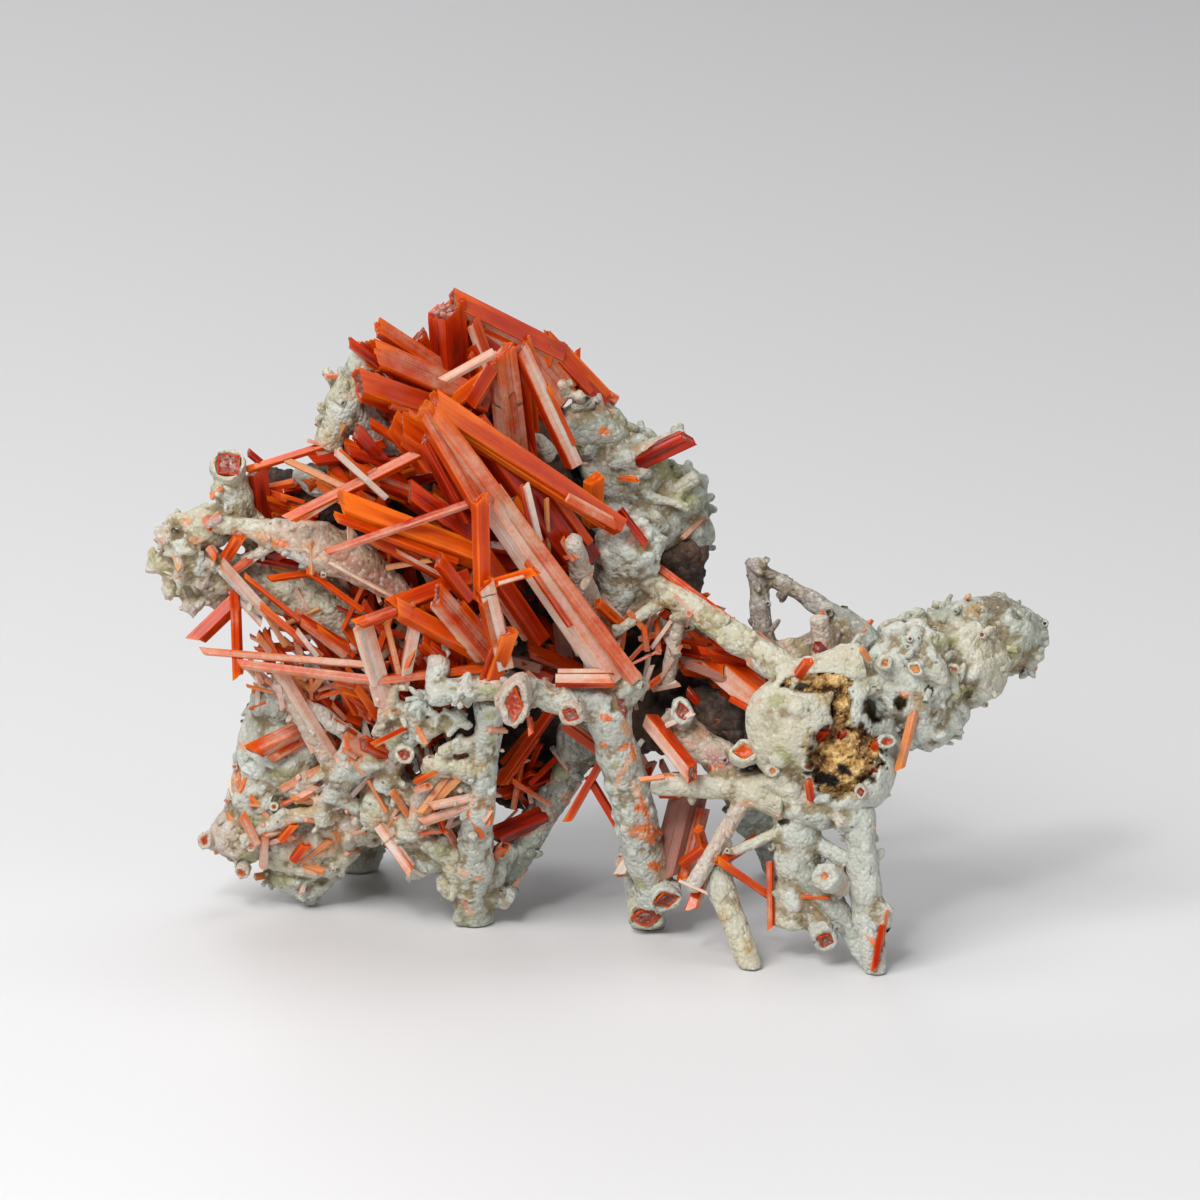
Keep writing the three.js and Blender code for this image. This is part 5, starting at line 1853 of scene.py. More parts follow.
def roughen(skin: bpy.types.Mesh, relief: Relief, offset: float) -> tuple[np.ndarray, np.ndarray]:
    """Gives an earthy skin its relief and paints how high each point stands.

    Args:
        skin: the fused skin.
        relief: how rough it gets.
        offset: shifts the pattern.

    Returns:
        Its new points and their heights from 0 to 1.
    """
    points = read_points(skin)
    heights = relief.heights(points, offset)
    points = points + read_normals(skin) * heights[:, None]
    write_points(skin, points)
    height = np.clip(0.5 + 0.5 * heights / (heights.std() * 2.5), 0, 1)
    paint_vertices(skin, "dress", np.column_stack((height, height, height)))
    return points, height


@dataclass
class Pocket:
    """The pocket of earthy limonite in the hub."""

    lumps: list[Row]
    voxel: float = 0.25 * MM
    relief: Relief = Relief(0.9, 0.55, 0.40, 1.8, 0.6, 0.3)
    offset: float = 7.0

    def build(self, mason: CrustMason, material: bpy.types.Material) -> None:
        """Builds the porous mass.

        Args:
            mason: shapes the lumps.
            material: dresses it.
        """
        forms = Forms()
        for centre, (across, high, deep) in self.lumps:
            mason.lump(forms, GRID.place(centre), np.array((across, deep, high)) * GRID.step)
        skin = remeshed(forms.mesh("raw"), self.voxel, 1)
        points, height = roughen(skin, self.relief, self.offset)
        white = np.ones((len(points), 3))
        tone, _, _ = mason.patch("limonite_pocket", points, read_normals(skin), white, height)
        paint_vertices(skin, "tone", tone)
        skin.shade_smooth()
        add_piece("limonite_mass", skin, material, ("limonite_pocket",))


POCKET = Pocket(
    lumps=[
        ((842, 756, -110), (38, 38, 26)), ((816, 683, -110), (36, 12, 16)),
        ((838, 706, -110), (12, 22, 16)), ((832, 784, -110), (22, 14, 16)),
    ],
)

# Dents in a node's skin: (column, row, depth where it starts), half width and half height, and how
# far it sinks.
DENTS: dict[str, list[Row]] = {
    "right_hub": [
        ((842, 756, -92), (37, 34), 30), ((834, 776, -92), (22, 20), 28), ((816, 683, -92), (34, 9), 26),
        ((838, 706, -92), (10, 22), 26), ((875, 705, -92), (14, 17), 40), ((784, 820, -92), (6, 4), 8),
    ],
    "right_arm": [
        ((898, 702, -92), (6, 8), 22), ((966, 694, -70), (5, 4), 14), ((926, 690, -80), (4, 4), 14),
    ],
    "right_inner_leg": [((783, 820, -112), (6, 4), 12)],
}

# Patches on a node: (column, row), (half length, half width), turn in degrees and tint.
PATCHES: dict[str, list[Row]] = {
    "centre_leg": [
        ((606, 717), (7, 4), 20, Tint.AMBER), ((621, 703), (15, 4), 70, Tint.RUBY),
        ((603, 744), (4, 4), 0, Tint.AMBER), ((625, 746), (8, 3), -15, Tint.AMBER),
        ((633, 753), (8, 3), 80, Tint.AMBER), ((623, 770), (18, 4), 116, Tint.PEACH),
        ((641, 800), (24, 5), 71, Tint.PEACH), ((645, 810), (14, 2), 71, Tint.AMBER),
        ((638, 808), (4, 4), 0, Tint.AMBER), ((647, 833), (20, 9), 15, Tint.AMBER),
        ((642, 835), (9, 4), 10, Tint.PEACH), ((655, 867), (7, 5), 20, Tint.AMBER),
        ((670, 874), (11, 3), 75, Tint.BROWN_AND_SHADE), ((626, 728), (9, 5), 70, Tint.PEACH),
        ((640, 884), (7, 5), 30, Tint.OLIVE), ((614, 764), (5, 4), 0, Tint.OLIVE),
        ((660, 840), (5, 5), 0, Tint.BROWN_AND_SHADE),
    ],
    "middle_leg": [
        ((491, 714), (6, 5), 0, Tint.OLIVE), ((492, 739), (6, 5), 0, Tint.OLIVE),
        ((480, 766), (9, 6), 0, Tint.OCHRE), ((464, 874), (5, 4), 0, Tint.PEACH),
        ((478, 879), (5, 4), 0, Tint.PEACH), ((466, 908), (11, 4), 60, Tint.PEACH),
        ((480, 822), (8, 6), 0, Tint.MILK),
    ],
    "slant_leg": [
        ((496, 886), (12, 3), -60, Tint.PEACH), ((570, 800), (10, 7), 0, Tint.PEACH),
        ((562, 774), (8, 6), 0, Tint.OLIVE),
    ],
    "front_beam": [
        ((560, 721), (9, 6), 60, Tint.OCHRE), ((489, 690), (8, 6), 0, Tint.OLIVE),
        ((454, 694), (8, 5), 0, Tint.MILK),
    ],
    "web_stalks": [
        ((394, 742), (9, 6), 0, Tint.OLIVE), ((374, 756), (10, 8), 0, Tint.OCHRE),
        ((430, 776), (12, 6), 60, Tint.OLIVE), ((414, 812), (10, 6), 0, Tint.PEACH),
        ((372, 838), (14, 5), 0, Tint.BROWN_AND_SHADE), ((398, 850), (10, 6), 0, Tint.OLIVE),
        ((442, 852), (10, 6), 0, Tint.OLIVE), ((426, 834), (8, 5), 0, Tint.PEACH),
    ],
    "lower_left_lobe": [
        ((235, 778), (15, 3), 86, Tint.AMBER), ((229, 786), (12, 5), 90, Tint.PEACH),
        ((243, 747), (8, 5), 0, Tint.PEACH), ((252, 770), (10, 8), 0, Tint.MILK),
        ((282, 776), (16, 8), 0, Tint.OLIVE), ((340, 786), (20, 6), 10, Tint.BROWN_AND_SHADE),
        ((322, 770), (12, 6), 0, Tint.OCHRE), ((300, 812), (18, 5), -10, Tint.OCHRE),
        ((256, 822), (12, 6), 0, Tint.OLIVE), ((326, 850), (12, 6), -40, Tint.PEACH),
        ((292, 842), (12, 6), -20, Tint.PEACH), ((244, 862), (12, 8), 20, Tint.OLIVE),
        ((366, 816), (12, 6), 0, Tint.BROWN_AND_SHADE), ((274, 884), (14, 6), 0, Tint.OLIVE),
        ((310, 872), (10, 6), 0, Tint.PEACH),
    ],
    "left_lobe": [
        ((155, 561), (6, 6), 0, Tint.OLIVE), ((166, 572), (8, 5), 50, Tint.OLIVE),
        ((176, 522), (8, 4), 0, Tint.OCHRE), ((174, 588), (10, 4), 30, Tint.OLIVE),
        ((212, 522), (8, 7), 0, Tint.PINK), ((215, 551), (8, 8), 0, Tint.PINK),
        ((188, 522), (5, 5), 0, Tint.PEACH), ((196, 540), (6, 4), 0, Tint.PEACH),
        ((266, 538), (14, 5), 20, Tint.PEACH), ((282, 544), (8, 4), 0, Tint.AMBER),
        ((232, 500), (6, 10), 0, Tint.MILK), ((300, 560), (12, 6), 20, Tint.MILK),
        ((386, 584), (22, 10), 35, Tint.BRICK), ((350, 560), (18, 8), 25, Tint.BRICK),
    ],
    "upper_left_stalk": [
        ((334, 440), (8, 6), 0, Tint.OCHRE), ((352, 388), (8, 5), 0, Tint.OLIVE),
        ((344, 410), (10, 10), 0, Tint.MILK),
    ],
    "upper_shoulder": [
        ((604, 432), (5, 5), 0, Tint.AMBER), ((666, 470), (16, 8), 30, Tint.OLIVE),
        ((690, 500), (12, 10), 40, Tint.OLIVE), ((580, 448), (8, 6), 0, Tint.OLIVE),
        ((660, 448), (18, 5), -20, Tint.RUBY), ((620, 506), (10, 8), 0, Tint.MILK),
    ],
    "right_hub": [
        ((786, 757), (20, 5), 40, Tint.OLIVE), ((806, 765), (4, 3), 0, Tint.AMBER),
        ((808, 784), (7, 5), 90, Tint.PEACH), ((824, 694), (22, 9), 40, Tint.OCHRE),
        ((842, 718), (12, 10), 70, Tint.OCHRE), ((804, 740), (14, 5), 100, Tint.OCHRE),
        ((842, 792), (24, 6), 0, Tint.OCHRE), ((776, 700), (10, 8), 0, Tint.OLIVE),
        ((870, 742), (10, 5), 60, Tint.BRICK),
    ],
    "right_inner_leg": [((805, 905), (7, 6), 0, Tint.BROWN_AND_SHADE), ((790, 900), (12, 8), 90, Tint.MILK)],
    "right_front_leg": [((877, 944), (24, 5), 104, Tint.RUBY), ((868, 926), (10, 8), 90, Tint.MILK)],
    "right_strut": [((722, 916), (8, 7), 0, Tint.OCHRE), ((746, 944), (9, 5), 60, Tint.OCHRE)],
    "right_arm": [
        ((992, 604), (16, 8), 10, Tint.BROWN_AND_SHADE), ((974, 610), (10, 7), 0, Tint.OCHRE),
        ((1010, 650), (12, 6), 60, Tint.OLIVE), ((940, 640), (16, 6), 0, Tint.OLIVE),
        ((916, 700), (10, 8), 60, Tint.OCHRE), ((896, 712), (6, 10), 0, Tint.BROWN_AND_SHADE),
        ((960, 694), (14, 5), -20, Tint.OLIVE),
    ],
    "long_stalk": [
        ((700, 628), (10, 3), 36, Tint.OLIVE), ((664, 604), (8, 4), 0, Tint.OCHRE),
        ((752, 668), (16, 6), 36, Tint.MILK),
    ],
    "centre_knob": [((636, 536), (9, 12), 40, Tint.BRICK), ((646, 560), (8, 8), 0, Tint.MILK)],
    "right_branch": [
        ((700, 732), (7, 5), 20, Tint.PEACH), ((690, 742), (6, 3), 40, Tint.PEACH),
        ((672, 740), (12, 5), 40, Tint.OCHRE), ((718, 758), (16, 8), 30, Tint.PINK),
        ((662, 774), (14, 3), 4, Tint.AMBER), ((704, 770), (20, 3), -20, Tint.AMBER),
        ((776, 762), (5, 6), 0, Tint.OCHRE), ((746, 766), (10, 6), 10, Tint.HOLE_SHADOW),
        ((746, 802), (6, 4), 0, Tint.PEACH),
    ],
    "limonite_pocket": [
        ((820, 730), (11, 9), 20, Tint.BRICK), ((876, 740), (6, 8), 0, Tint.BRICK),
        ((826, 778), (13, 6), 15, Tint.HOLE_SHADOW), ((842, 768), (8, 4), 35, Tint.HOLE_SHADOW),
        ((798, 686), (9, 4), -10, Tint.HOLE_SHADOW),
    ],
}


@dataclass
class GossanCore:
    """The dark, spongy mass that everything is rooted in; its near-black colour also serves as painted shade
    where it shows through gaps.
    """

    stalks: list[Row]
    lumps: list[Row]
    voxel: float = 0.6 * MM
    relief: Relief = Relief(2.0, 1.4, 0.4, 7.0, 2.6, 0.9)
    offset: float = 3.0

    def build(self, mason: CrustMason, material: bpy.types.Material) -> None:
        """Builds the mass.

        Args:
            mason: shapes its stalks and lumps.
            material: dresses it.
        """
        skin = remeshed(mason.core(Branch(self.stalks, self.lumps)).mesh("raw"), self.voxel, 1)
        points, _ = roughen(skin, self.relief, self.offset)
        paint_vertices(skin, "tone", np.ones((len(points), 3)))
        skin.shade_smooth()
        add_piece("gossan_and_gap_shade_mass", skin, material, ("gossan_core",))


CORE = GossanCore(
    stalks=[
        # The second stalk reaches behind the left side, where its dark skin shows through gaps as painted
        # shade.
        ((620, 690, 70), (800, 742, -54), 46, 28), ((262, 488, 44), (400, 504, 62), 20, 40),
    ],
    lumps=[
        ((430, 570, 76), (112, 116, 56)), ((450, 690, 80), (112, 76, 56)), ((560, 570, 76), (104, 104, 54)),
        ((580, 690, 80), (104, 76, 56)), ((506, 462, 60), (72, 74, 40)), ((530, 764, 60), (52, 50, 32)),
        ((676, 572, 72), (28, 46, 28)),
    ],
)


# --- Finishes -------------------------------------------------------------------------------------


class Wiring:
    """A node tree with short ways to add and join nodes."""

    def __init__(self, tree: bpy.types.NodeTree) -> None:
        """Takes over a tree.

        Args:
            tree: an empty node tree.
        """
        self.tree = tree

    def fill(self, node: bpy.types.Node, inputs: dict) -> None:
        """Sets a node's own sockets.

        Args:
            node: the node.
            inputs: values, or sockets to join, by input name or number.
        """
        for key, value in inputs.items():
            if isinstance(value, Socket):
                self.tree.links.new(value, node.inputs[key])
            else:
                node.inputs[key].default_value = value

    def node(self, kind: str, inputs: dict | None = None, **settings: object) -> bpy.types.Node:
        """Adds a node.

        Args:
            kind: the node's type name.
            inputs: values or sockets by input name or number.
            **settings: the node's own properties.

        Returns:
            The node.
        """
        made = self.tree.nodes.new(kind)
        for name, value in settings.items():
            setattr(made, name, value)
        self.fill(made, inputs or {})
        return made

    def math(self, operation: str, *values: object, clamp: bool = False) -> Socket:
        """Adds a Math node and gives its output."""
        made = self.node("ShaderNodeMath", dict(enumerate(values)), operation=operation, use_clamp=clamp)
        return made.outputs[0]

    def times(self, first: object, second: object) -> Socket:
        """Multiplies two values."""
        return self.math("MULTIPLY", first, second)

    def plus(self, first: object, second: object) -> Socket:
        """Adds two values."""
        return self.math("ADD", first, second)

    def scaled(self, value: object, factor: object, offset: object) -> Socket:
        """Multiplies a value by a factor and adds an offset."""
        return self.math("MULTIPLY_ADD", value, factor, offset)

    def moved(self, place: object, other: object, operation: str = "MULTIPLY") -> Socket:
        """Multiplies a place by a vector, or adds one to it."""
        return self.node("ShaderNodeVectorMath", {0: place, 1: other}, operation=operation).outputs[0]

    def mix(self, factor: object, first: object, second: object, blend: str = "MIX") -> Socket:
        """Mixes two colours and gives the result.

        Args:
            factor: share of the second colour.
            first: colour or socket.
            second: colour or socket.
            blend: how they are mixed.

        Returns:
            The mixed colour.
        """
        first, second = ((*v, 1.0) if isinstance(v, tuple) else v for v in (first, second))
        inputs = {0: factor, 6: first, 7: second}
        return self.node("ShaderNodeMix", inputs, data_type="RGBA", blend_type=blend).outputs[2]

    def step(
        self, value: object, low: float, high: float, bottom: float = 0.0, top: float = 1.0
    ) -> Socket:
        """Maps a value smoothly from one range to another and gives the result."""
        inputs = {0: value, 1: low, 2: high, 3: bottom, 4: top}
        return self.node("ShaderNodeMapRange", inputs, interpolation_type="SMOOTHSTEP").outputs[0]

    def noise(self, where: object, scale: object, detail: float = 3.0, rough: float = 0.55) -> Socket:
        """Adds a Noise Texture and gives its value."""
        inputs = {"Vector": where, "Scale": scale, "Detail": detail, "Roughness": rough}
        return self.node("ShaderNodeTexNoise", inputs).outputs[0]

    def attribute(self, name: str) -> bpy.types.Node:
        """Adds a node that reads painted values."""
        return self.node("ShaderNodeAttribute", attribute_name=name, attribute_type="GEOMETRY")

    def channels(self, name: str) -> list[Socket]:
        """Gives the three painted numbers of an attribute."""
        colour = self.attribute(name).outputs["Color"]
        return list(self.node("ShaderNodeSeparateColor", {0: colour}).outputs)[:3]

    def group(self, name: str, inputs: dict | None = None) -> bpy.types.Node:
        """Places a shared effect.

        Args:
            name: the node group's name.
            inputs: values or sockets by input name.

        Returns:
            The group node.
        """
        made = self.tree.nodes.new("ShaderNodeGroup")
        made.node_tree = bpy.data.node_groups[name]
        self.fill(made, inputs or {})
        return made


def new_group(
    name: str, inputs: dict[str, float], outputs: tuple[str, ...]
) -> tuple[Wiring, bpy.types.Node, bpy.types.Node]:
    """Makes an empty shared effect.

    Args:
        name: its name.
        inputs: its input values by name.
        outputs: its output names.

    Returns:
        Its wiring and its input and output nodes.
    """
    tree = bpy.data.node_groups.new(name, "ShaderNodeTree")
    for key, value in inputs.items():
        tree.interface.new_socket(key, in_out="INPUT", socket_type="NodeSocketFloat").default_value = value
    for key in outputs:
        tree.interface.new_socket(key, in_out="OUTPUT", socket_type="NodeSocketFloat")
    wiring = Wiring(tree)
    return wiring, wiring.node("NodeGroupInput"), wiring.node("NodeGroupOutput")


class SharedEffects:
    """Effects that more than one finish uses."""

    def build(self) -> None:
        """Makes every shared effect."""
        self.sugar()
        self.patches()
        self.specks()

    def millimetres(self, wiring: Wiring) -> Socket:
        """Gives the place on the specimen in millimetres."""
        place = wiring.node("ShaderNodeTexCoord").outputs["Object"]
        return wiring.moved(place, (1000, 1000, 1000))

    def sugar(self) -> None:
        """Makes the sugary grain: fine crystals of about the given size."""
        wiring, given, result = new_group("sugar_grain", {"Size": 0.5}, ("Height", "Sparkle"))
        place = self.millimetres(wiring)
        scale = wiring.math("DIVIDE", 1.0, given.outputs["Size"])
        cells = wiring.node("ShaderNodeTexVoronoi", {"Vector": place, "Scale": scale})
        fine_inputs = {"Vector": place, "Scale": wiring.times(scale, 1.7), "Detail": 3.0}
        fine = wiring.node("ShaderNodeTexNoise", fine_inputs)
        lumps = wiring.math("SUBTRACT", 1.0, wiring.math("POWER", cells.outputs["Distance"], 2.0))
        height = wiring.plus(wiring.times(lumps, 0.8), wiring.times(fine.outputs[0], 0.35))
        tone = wiring.node("ShaderNodeSeparateColor", {0: cells.outputs["Color"]}).outputs[0]
        wiring.fill(result, {"Height": height, "Sparkle": tone})

    def patches(self) -> None:
        """Makes soft patches of about the given size that cover about the given share."""
        sizes = {"Size": 8.0, "Cover": 0.5, "Softness": 0.08, "Turn": 0.0}
        wiring, given, result = new_group("stain_patches", sizes, ("Mask",))
        place = self.millimetres(wiring)
        moved = wiring.moved(place, given.outputs["Turn"], "ADD")
        scale = wiring.math("DIVIDE", 1.0, given.outputs["Size"])
        clouds = wiring.noise(moved, scale, 5.0, 0.62)
        edge = wiring.math("SUBTRACT", 1.0, given.outputs["Cover"])
        over = wiring.math("SUBTRACT", clouds, edge)
        soft = wiring.math("DIVIDE", over, given.outputs["Softness"])
        mask = wiring.math("MULTIPLY_ADD", soft, 0.5, 0.5, clamp=True)
        wiring.fill(result, {"Mask": mask})

    def specks(self) -> None:
        """Makes scattered round specks of about the given spacing."""
        wiring, given, result = new_group("specks", {"Spacing": 3.0, "Radius": 0.12}, ("Mask",))
        place = self.millimetres(wiring)
        scale = wiring.math("DIVIDE", 1.0, given.outputs["Spacing"])
        cells = wiring.node("ShaderNodeTexVoronoi", {"Vector": place, "Scale": scale})
        over = wiring.math("SUBTRACT", given.outputs["Radius"], cells.outputs["Distance"])
        mask = wiring.math("MULTIPLY", over, 20.0, clamp=True)
        wiring.fill(result, {"Mask": mask})


def new_material(name: str) -> tuple[bpy.types.Material, Wiring, bpy.types.Node]:
    """Makes a material with one Principled BSDF.

    Args:
        name: its name.

    Returns:
        The material, its wiring and its shader.
    """
    material = bpy.data.materials.new(name)
    material.use_nodes = True
    material.node_tree.nodes.clear()
    wiring = Wiring(material.node_tree)
    shader = wiring.node("ShaderNodeBsdfPrincipled")
    wiring.node("ShaderNodeOutputMaterial", {"Surface": shader.outputs[0]})
    return material, wiring, shader


@dataclass(frozen=True)
class CrocoiteFinish:
    """Glassy orange-red crystal with a pinkish sugary frost, a painted glow on its thin edges and tips, and
    painted glints on its broken ends.
    """

    deep: Colour = (0.15, 0.005, 0.001)
    red: Colour = (0.40, 0.018, 0.002)
    body: Colour = (0.56, 0.054, 0.002)
    bright: Colour = (0.80, 0.150, 0.008)
    sandy: Colour = (0.68, 0.28, 0.09)
    frost_warm: Colour = (0.60, 0.205, 0.100)
    frost_pale: Colour = (0.67, 0.345, 0.245)
    # White of the frost, also used for painted glints on broken ends and painted reflections on white rods.
    frost_white_and_glint: Colour = (0.72, 0.63, 0.56)
    shaded_frost: Colour = (0.32, 0.15, 0.115)
    dust: Colour = (0.50, 0.33, 0.10)
    ruby: Colour = (0.17, 0.026, 0.018)
    ruby_light: Colour = (0.38, 0.14, 0.10)

    def material(self) -> bpy.types.Material:
        """Builds the material."""
        made, wiring, shader = new_material("crocoite")
        frost, tint, share = wiring.channels("dress")
        edge, _, _ = wiring.channels("glow")
        grain = wiring.attribute("grain").outputs["Vector"]
        fine = wiring.moved(grain, (2.6, 0.07, 1.0))
        broad = wiring.moved(grain, (0.40, 0.16, 1.0))
        streaks = wiring.noise(fine, 1.0, 2.0)
        clouds = wiring.noise(broad, 1.0, 3.0)
        glow = wiring.plus(tint, wiring.scaled(clouds, 0.8, -0.42))
        glow = wiring.plus(glow, wiring.scaled(streaks, 0.6, -0.3))
        # Painted glow: thin edges and tips are painted brighter, as if lit through.
        glow = wiring.plus(glow, wiring.times(wiring.math("POWER", edge, 3.0), 0.45))
        colour = wiring.mix(wiring.step(glow, 0.05, 0.42), self.deep, self.red)
        colour = wiring.mix(wiring.step(glow, 0.36, 0.80), colour, self.body)
        colour = wiring.mix(wiring.step(glow, 0.72, 1.25), colour, self.bright)
        colour = wiring.mix(wiring.step(tint, 1.0, 1.25), colour, self.sandy)
        sugar = wiring.group("sugar_grain", {"Size": 0.45})
        patches = wiring.group("stain_patches", {"Size": 4.5, "Cover": 0.5, "Softness": 0.35})
        spread = wiring.scaled(patches.outputs[0], 0.8, wiring.scaled(streaks, 0.3, -0.5))
        veil = wiring.scaled(spread, wiring.step(frost, 0.0, 0.4, 0.12, 0.9), frost)
        veil = wiring.math("SUBTRACT", veil, wiring.times(wiring.math("POWER", edge, 6.0), 0.35))
        mask = wiring.step(veil, 0.28, 0.85)
        pale = wiring.mix(wiring.step(veil, 0.50, 0.95), self.frost_warm, self.frost_pale)
        pale = wiring.mix(wiring.step(veil, 0.85, 1.35), pale, self.frost_white_and_glint)
        dusty = wiring.group("stain_patches", {"Size": 1.3, "Cover": 0.42, "Softness": 0.10, "Turn": 23.0})
        pale = wiring.mix(wiring.times(dusty.outputs[0], 0.30), pale, self.dust)
        pale = wiring.mix(wiring.times(sugar.outputs["Sparkle"], 0.25), pale, self.frost_white_and_glint)
        pale = wiring.mix(wiring.step(tint, 0.35, 0.05), pale, self.shaded_frost)
        colour = wiring.mix(wiring.times(mask, 0.92), colour, pale)
        broken = wiring.step(share, 1.05, 1.15)
        granular = wiring.mix(sugar.outputs["Sparkle"], self.ruby, self.ruby_light)
        colour = wiring.mix(wiring.times(broken, wiring.step(tint, 0.60, 0.50)), colour, granular)
        glint = wiring.times(broken, wiring.step(sugar.outputs["Sparkle"], 0.80, 0.95, 0.0, 0.25))
        colour = wiring.mix(glint, colour, self.frost_white_and_glint)
        rough = wiring.scaled(mask, 0.5, 0.08)
        rough = wiring.plus(rough, wiring.times(clouds, 0.10))
        height = wiring.times(streaks, 0.30)
        sugary = wiring.times(sugar.outputs["Height"], wiring.math("MAXIMUM", mask, broken))
        height = wiring.plus(height, wiring.times(sugary, 0.8))
        bump = wiring.node("ShaderNodeBump", {"Strength": 0.5, "Distance": 0.00018, "Height": height})
        inputs = {"Base Color": colour, "Roughness": rough, "Normal": bump.outputs[0]}
        inputs |= {"IOR": 1.65, "Specular IOR Level": 0.18}
        inputs |= {"Subsurface Weight": 0.30, "Subsurface Radius": (1.0, 0.20, 0.05)}
        inputs["Subsurface Scale"] = 2.0 * MM
        wiring.fill(shader, inputs)
        return made


@dataclass(frozen=True)
class CrustFinish:
    """Porous, sugary gibbsite with stains, specks and red cores, painted shade in its hollows and painted
    light on its knobs.
    """

    stain: Colour = (0.62, 0.29, 0.13)
    moss: Colour = (0.38, 0.32, 0.12)
    hollow: Colour = (0.24, 0.180, 0.090)
    pale_and_lit: Colour = (0.58, 0.605, 0.555)
    glitter: Colour = (0.72, 0.70, 0.66)
    speck: Colour = (0.07, 0.06, 0.05)
    core: Colour = (0.20, 0.025, 0.010)
    core_light: Colour = (0.55, 0.16, 0.08)

    def material(self) -> bpy.types.Material:
        """Builds the material."""
        made, wiring, shader = new_material("gibbsite_crust")
        stain, core, height = wiring.channels("dress")
        tone = wiring.attribute("tone").outputs["Color"]
        sugar = wiring.group("sugar_grain", {"Size": 0.5})
        coarse = wiring.group("sugar_grain", {"Size": 1.1})
        white = wiring.group("stain_patches", {"Size": 5.0, "Cover": 0.46, "Softness": 0.22, "Turn": 11.0})
        moss = wiring.group("stain_patches", {"Size": 7.0, "Cover": 0.36, "Softness": 0.10, "Turn": 37.0})
        rust = wiring.group("stain_patches", {"Size": 3.4, "Cover": 0.40, "Softness": 0.12, "Turn": 71.0})
        specks = wiring.group("specks", {"Spacing": 2.6, "Radius": 0.11})
        # The paler tone below is laid in random patches as the crust's own whiter spots, and on knobs as
        # painted light.
        pale_and_lit = wiring.mix(0.65, tone, self.pale_and_lit)
        colour = wiring.mix(wiring.times(white.outputs[0], 0.5), tone, pale_and_lit)
        # Painted shade in hollows and dents and painted light on knobs, driven by the third painted number.
        colour = wiring.mix(wiring.step(height, 0.38, 0.0, 0.0, 0.8), colour, self.hollow)
        colour = wiring.mix(wiring.step(height, 0.55, 0.95, 0.0, 0.6), colour, pale_and_lit)
        colour = wiring.mix(wiring.times(moss.outputs[0], 0.38), colour, self.moss)
        rusty = wiring.times(rust.outputs[0], 0.10)
        gloss = wiring.step(stain, 1.05, 1.6)
        near = wiring.times(wiring.step(stain, 0.30, 1.0), wiring.scaled(rust.outputs[0], 0.6, 0.25))
        colour = wiring.mix(wiring.math("MAXIMUM", rusty, near), colour, self.stain)
        colour = wiring.mix(wiring.step(core, 0.0, -1.0, 0.0, 0.92), colour, tone)
        colour = wiring.mix(wiring.times(specks.outputs[0], 0.75), colour, self.speck)
        colour = wiring.mix(wiring.step(sugar.outputs["Sparkle"], 0.7, 1.0, 0.0, 0.40), colour, self.glitter)
        shade = wiring.step(sugar.outputs["Height"], 0.05, 0.6, 0.68, 0.98)
        colour = wiring.mix(1.0, colour, shade, "MULTIPLY")
        ruby = wiring.mix(coarse.outputs["Sparkle"], self.core, self.core_light)
        core = wiring.step(core, 0.0, 1.0)
        colour = wiring.mix(core, colour, ruby)
        rough = wiring.scaled(wiring.math("MAXIMUM", core, gloss), -0.42, 0.68)
        relief = wiring.times(coarse.outputs["Height"], 0.8)
        relief = wiring.plus(wiring.times(sugar.outputs["Height"], 0.7), relief)
        bump = wiring.node("ShaderNodeBump", {"Strength": 0.9, "Distance": 0.0004, "Height": relief})
        inputs = {"Base Color": colour, "Roughness": rough, "Normal": bump.outputs[0], "IOR": 1.55}
        inputs |= {"Subsurface Weight": 0.30, "Subsurface Radius": (1.0, 0.88, 0.72)}
        inputs["Subsurface Scale"] = 0.8 * MM
        wiring.fill(shader, inputs)
        return made


@dataclass(frozen=True)
class EarthFinish:
    """A dull earthy mineral whose colour follows its relief and its patches."""

    name: str
    low: Colour
    middle: Colour
    high: Colour
    patch: Colour
    patch_size: float
    patch_cover: float
    grain: float
    bump: float

    def material(self) -> bpy.types.Material:
        """Builds the material."""
        made, wiring, shader = new_material(self.name)
        height, _, _ = wiring.channels("dress")
        sugar = wiring.group("sugar_grain", {"Size": self.grain})
        sizes = {"Size": self.patch_size, "Cover": self.patch_cover, "Softness": 0.10}
        patches = wiring.group("stain_patches", sizes)
        rise = wiring.plus(height, wiring.scaled(sugar.outputs["Sparkle"], 0.3, -0.15))
        colour = wiring.mix(wiring.step(rise, 0.22, 0.52), self.low, self.middle)
        colour = wiring.mix(wiring.step(rise, 0.52, 0.9), colour, self.high)
        colour = wiring.mix(wiring.times(patches.outputs[0], 0.8), colour, self.patch)
        colour = wiring.mix(1.0, colour, wiring.attribute("tone").outputs["Color"], "MULTIPLY")
        rough = wiring.scaled(sugar.outputs["Sparkle"], -0.25, 0.9)
        relief = {"Strength": 0.8, "Distance": self.bump, "Height": sugar.outputs["Height"]}
        bump = wiring.node("ShaderNodeBump", relief)
        wiring.fill(shader, {"Base Color": colour, "Roughness": rough, "Normal": bump.outputs[0]})
        return made


LIMONITE = EarthFinish(
    name="limonite",
    low=(0.11, 0.050, 0.018),
    middle=(0.52, 0.29, 0.09),
    high=(0.80, 0.56, 0.24),
    patch=(0.30, 0.12, 0.04),
    patch_size=2.2,
    patch_cover=0.40,
    grain=0.45,
    bump=0.0004,
)
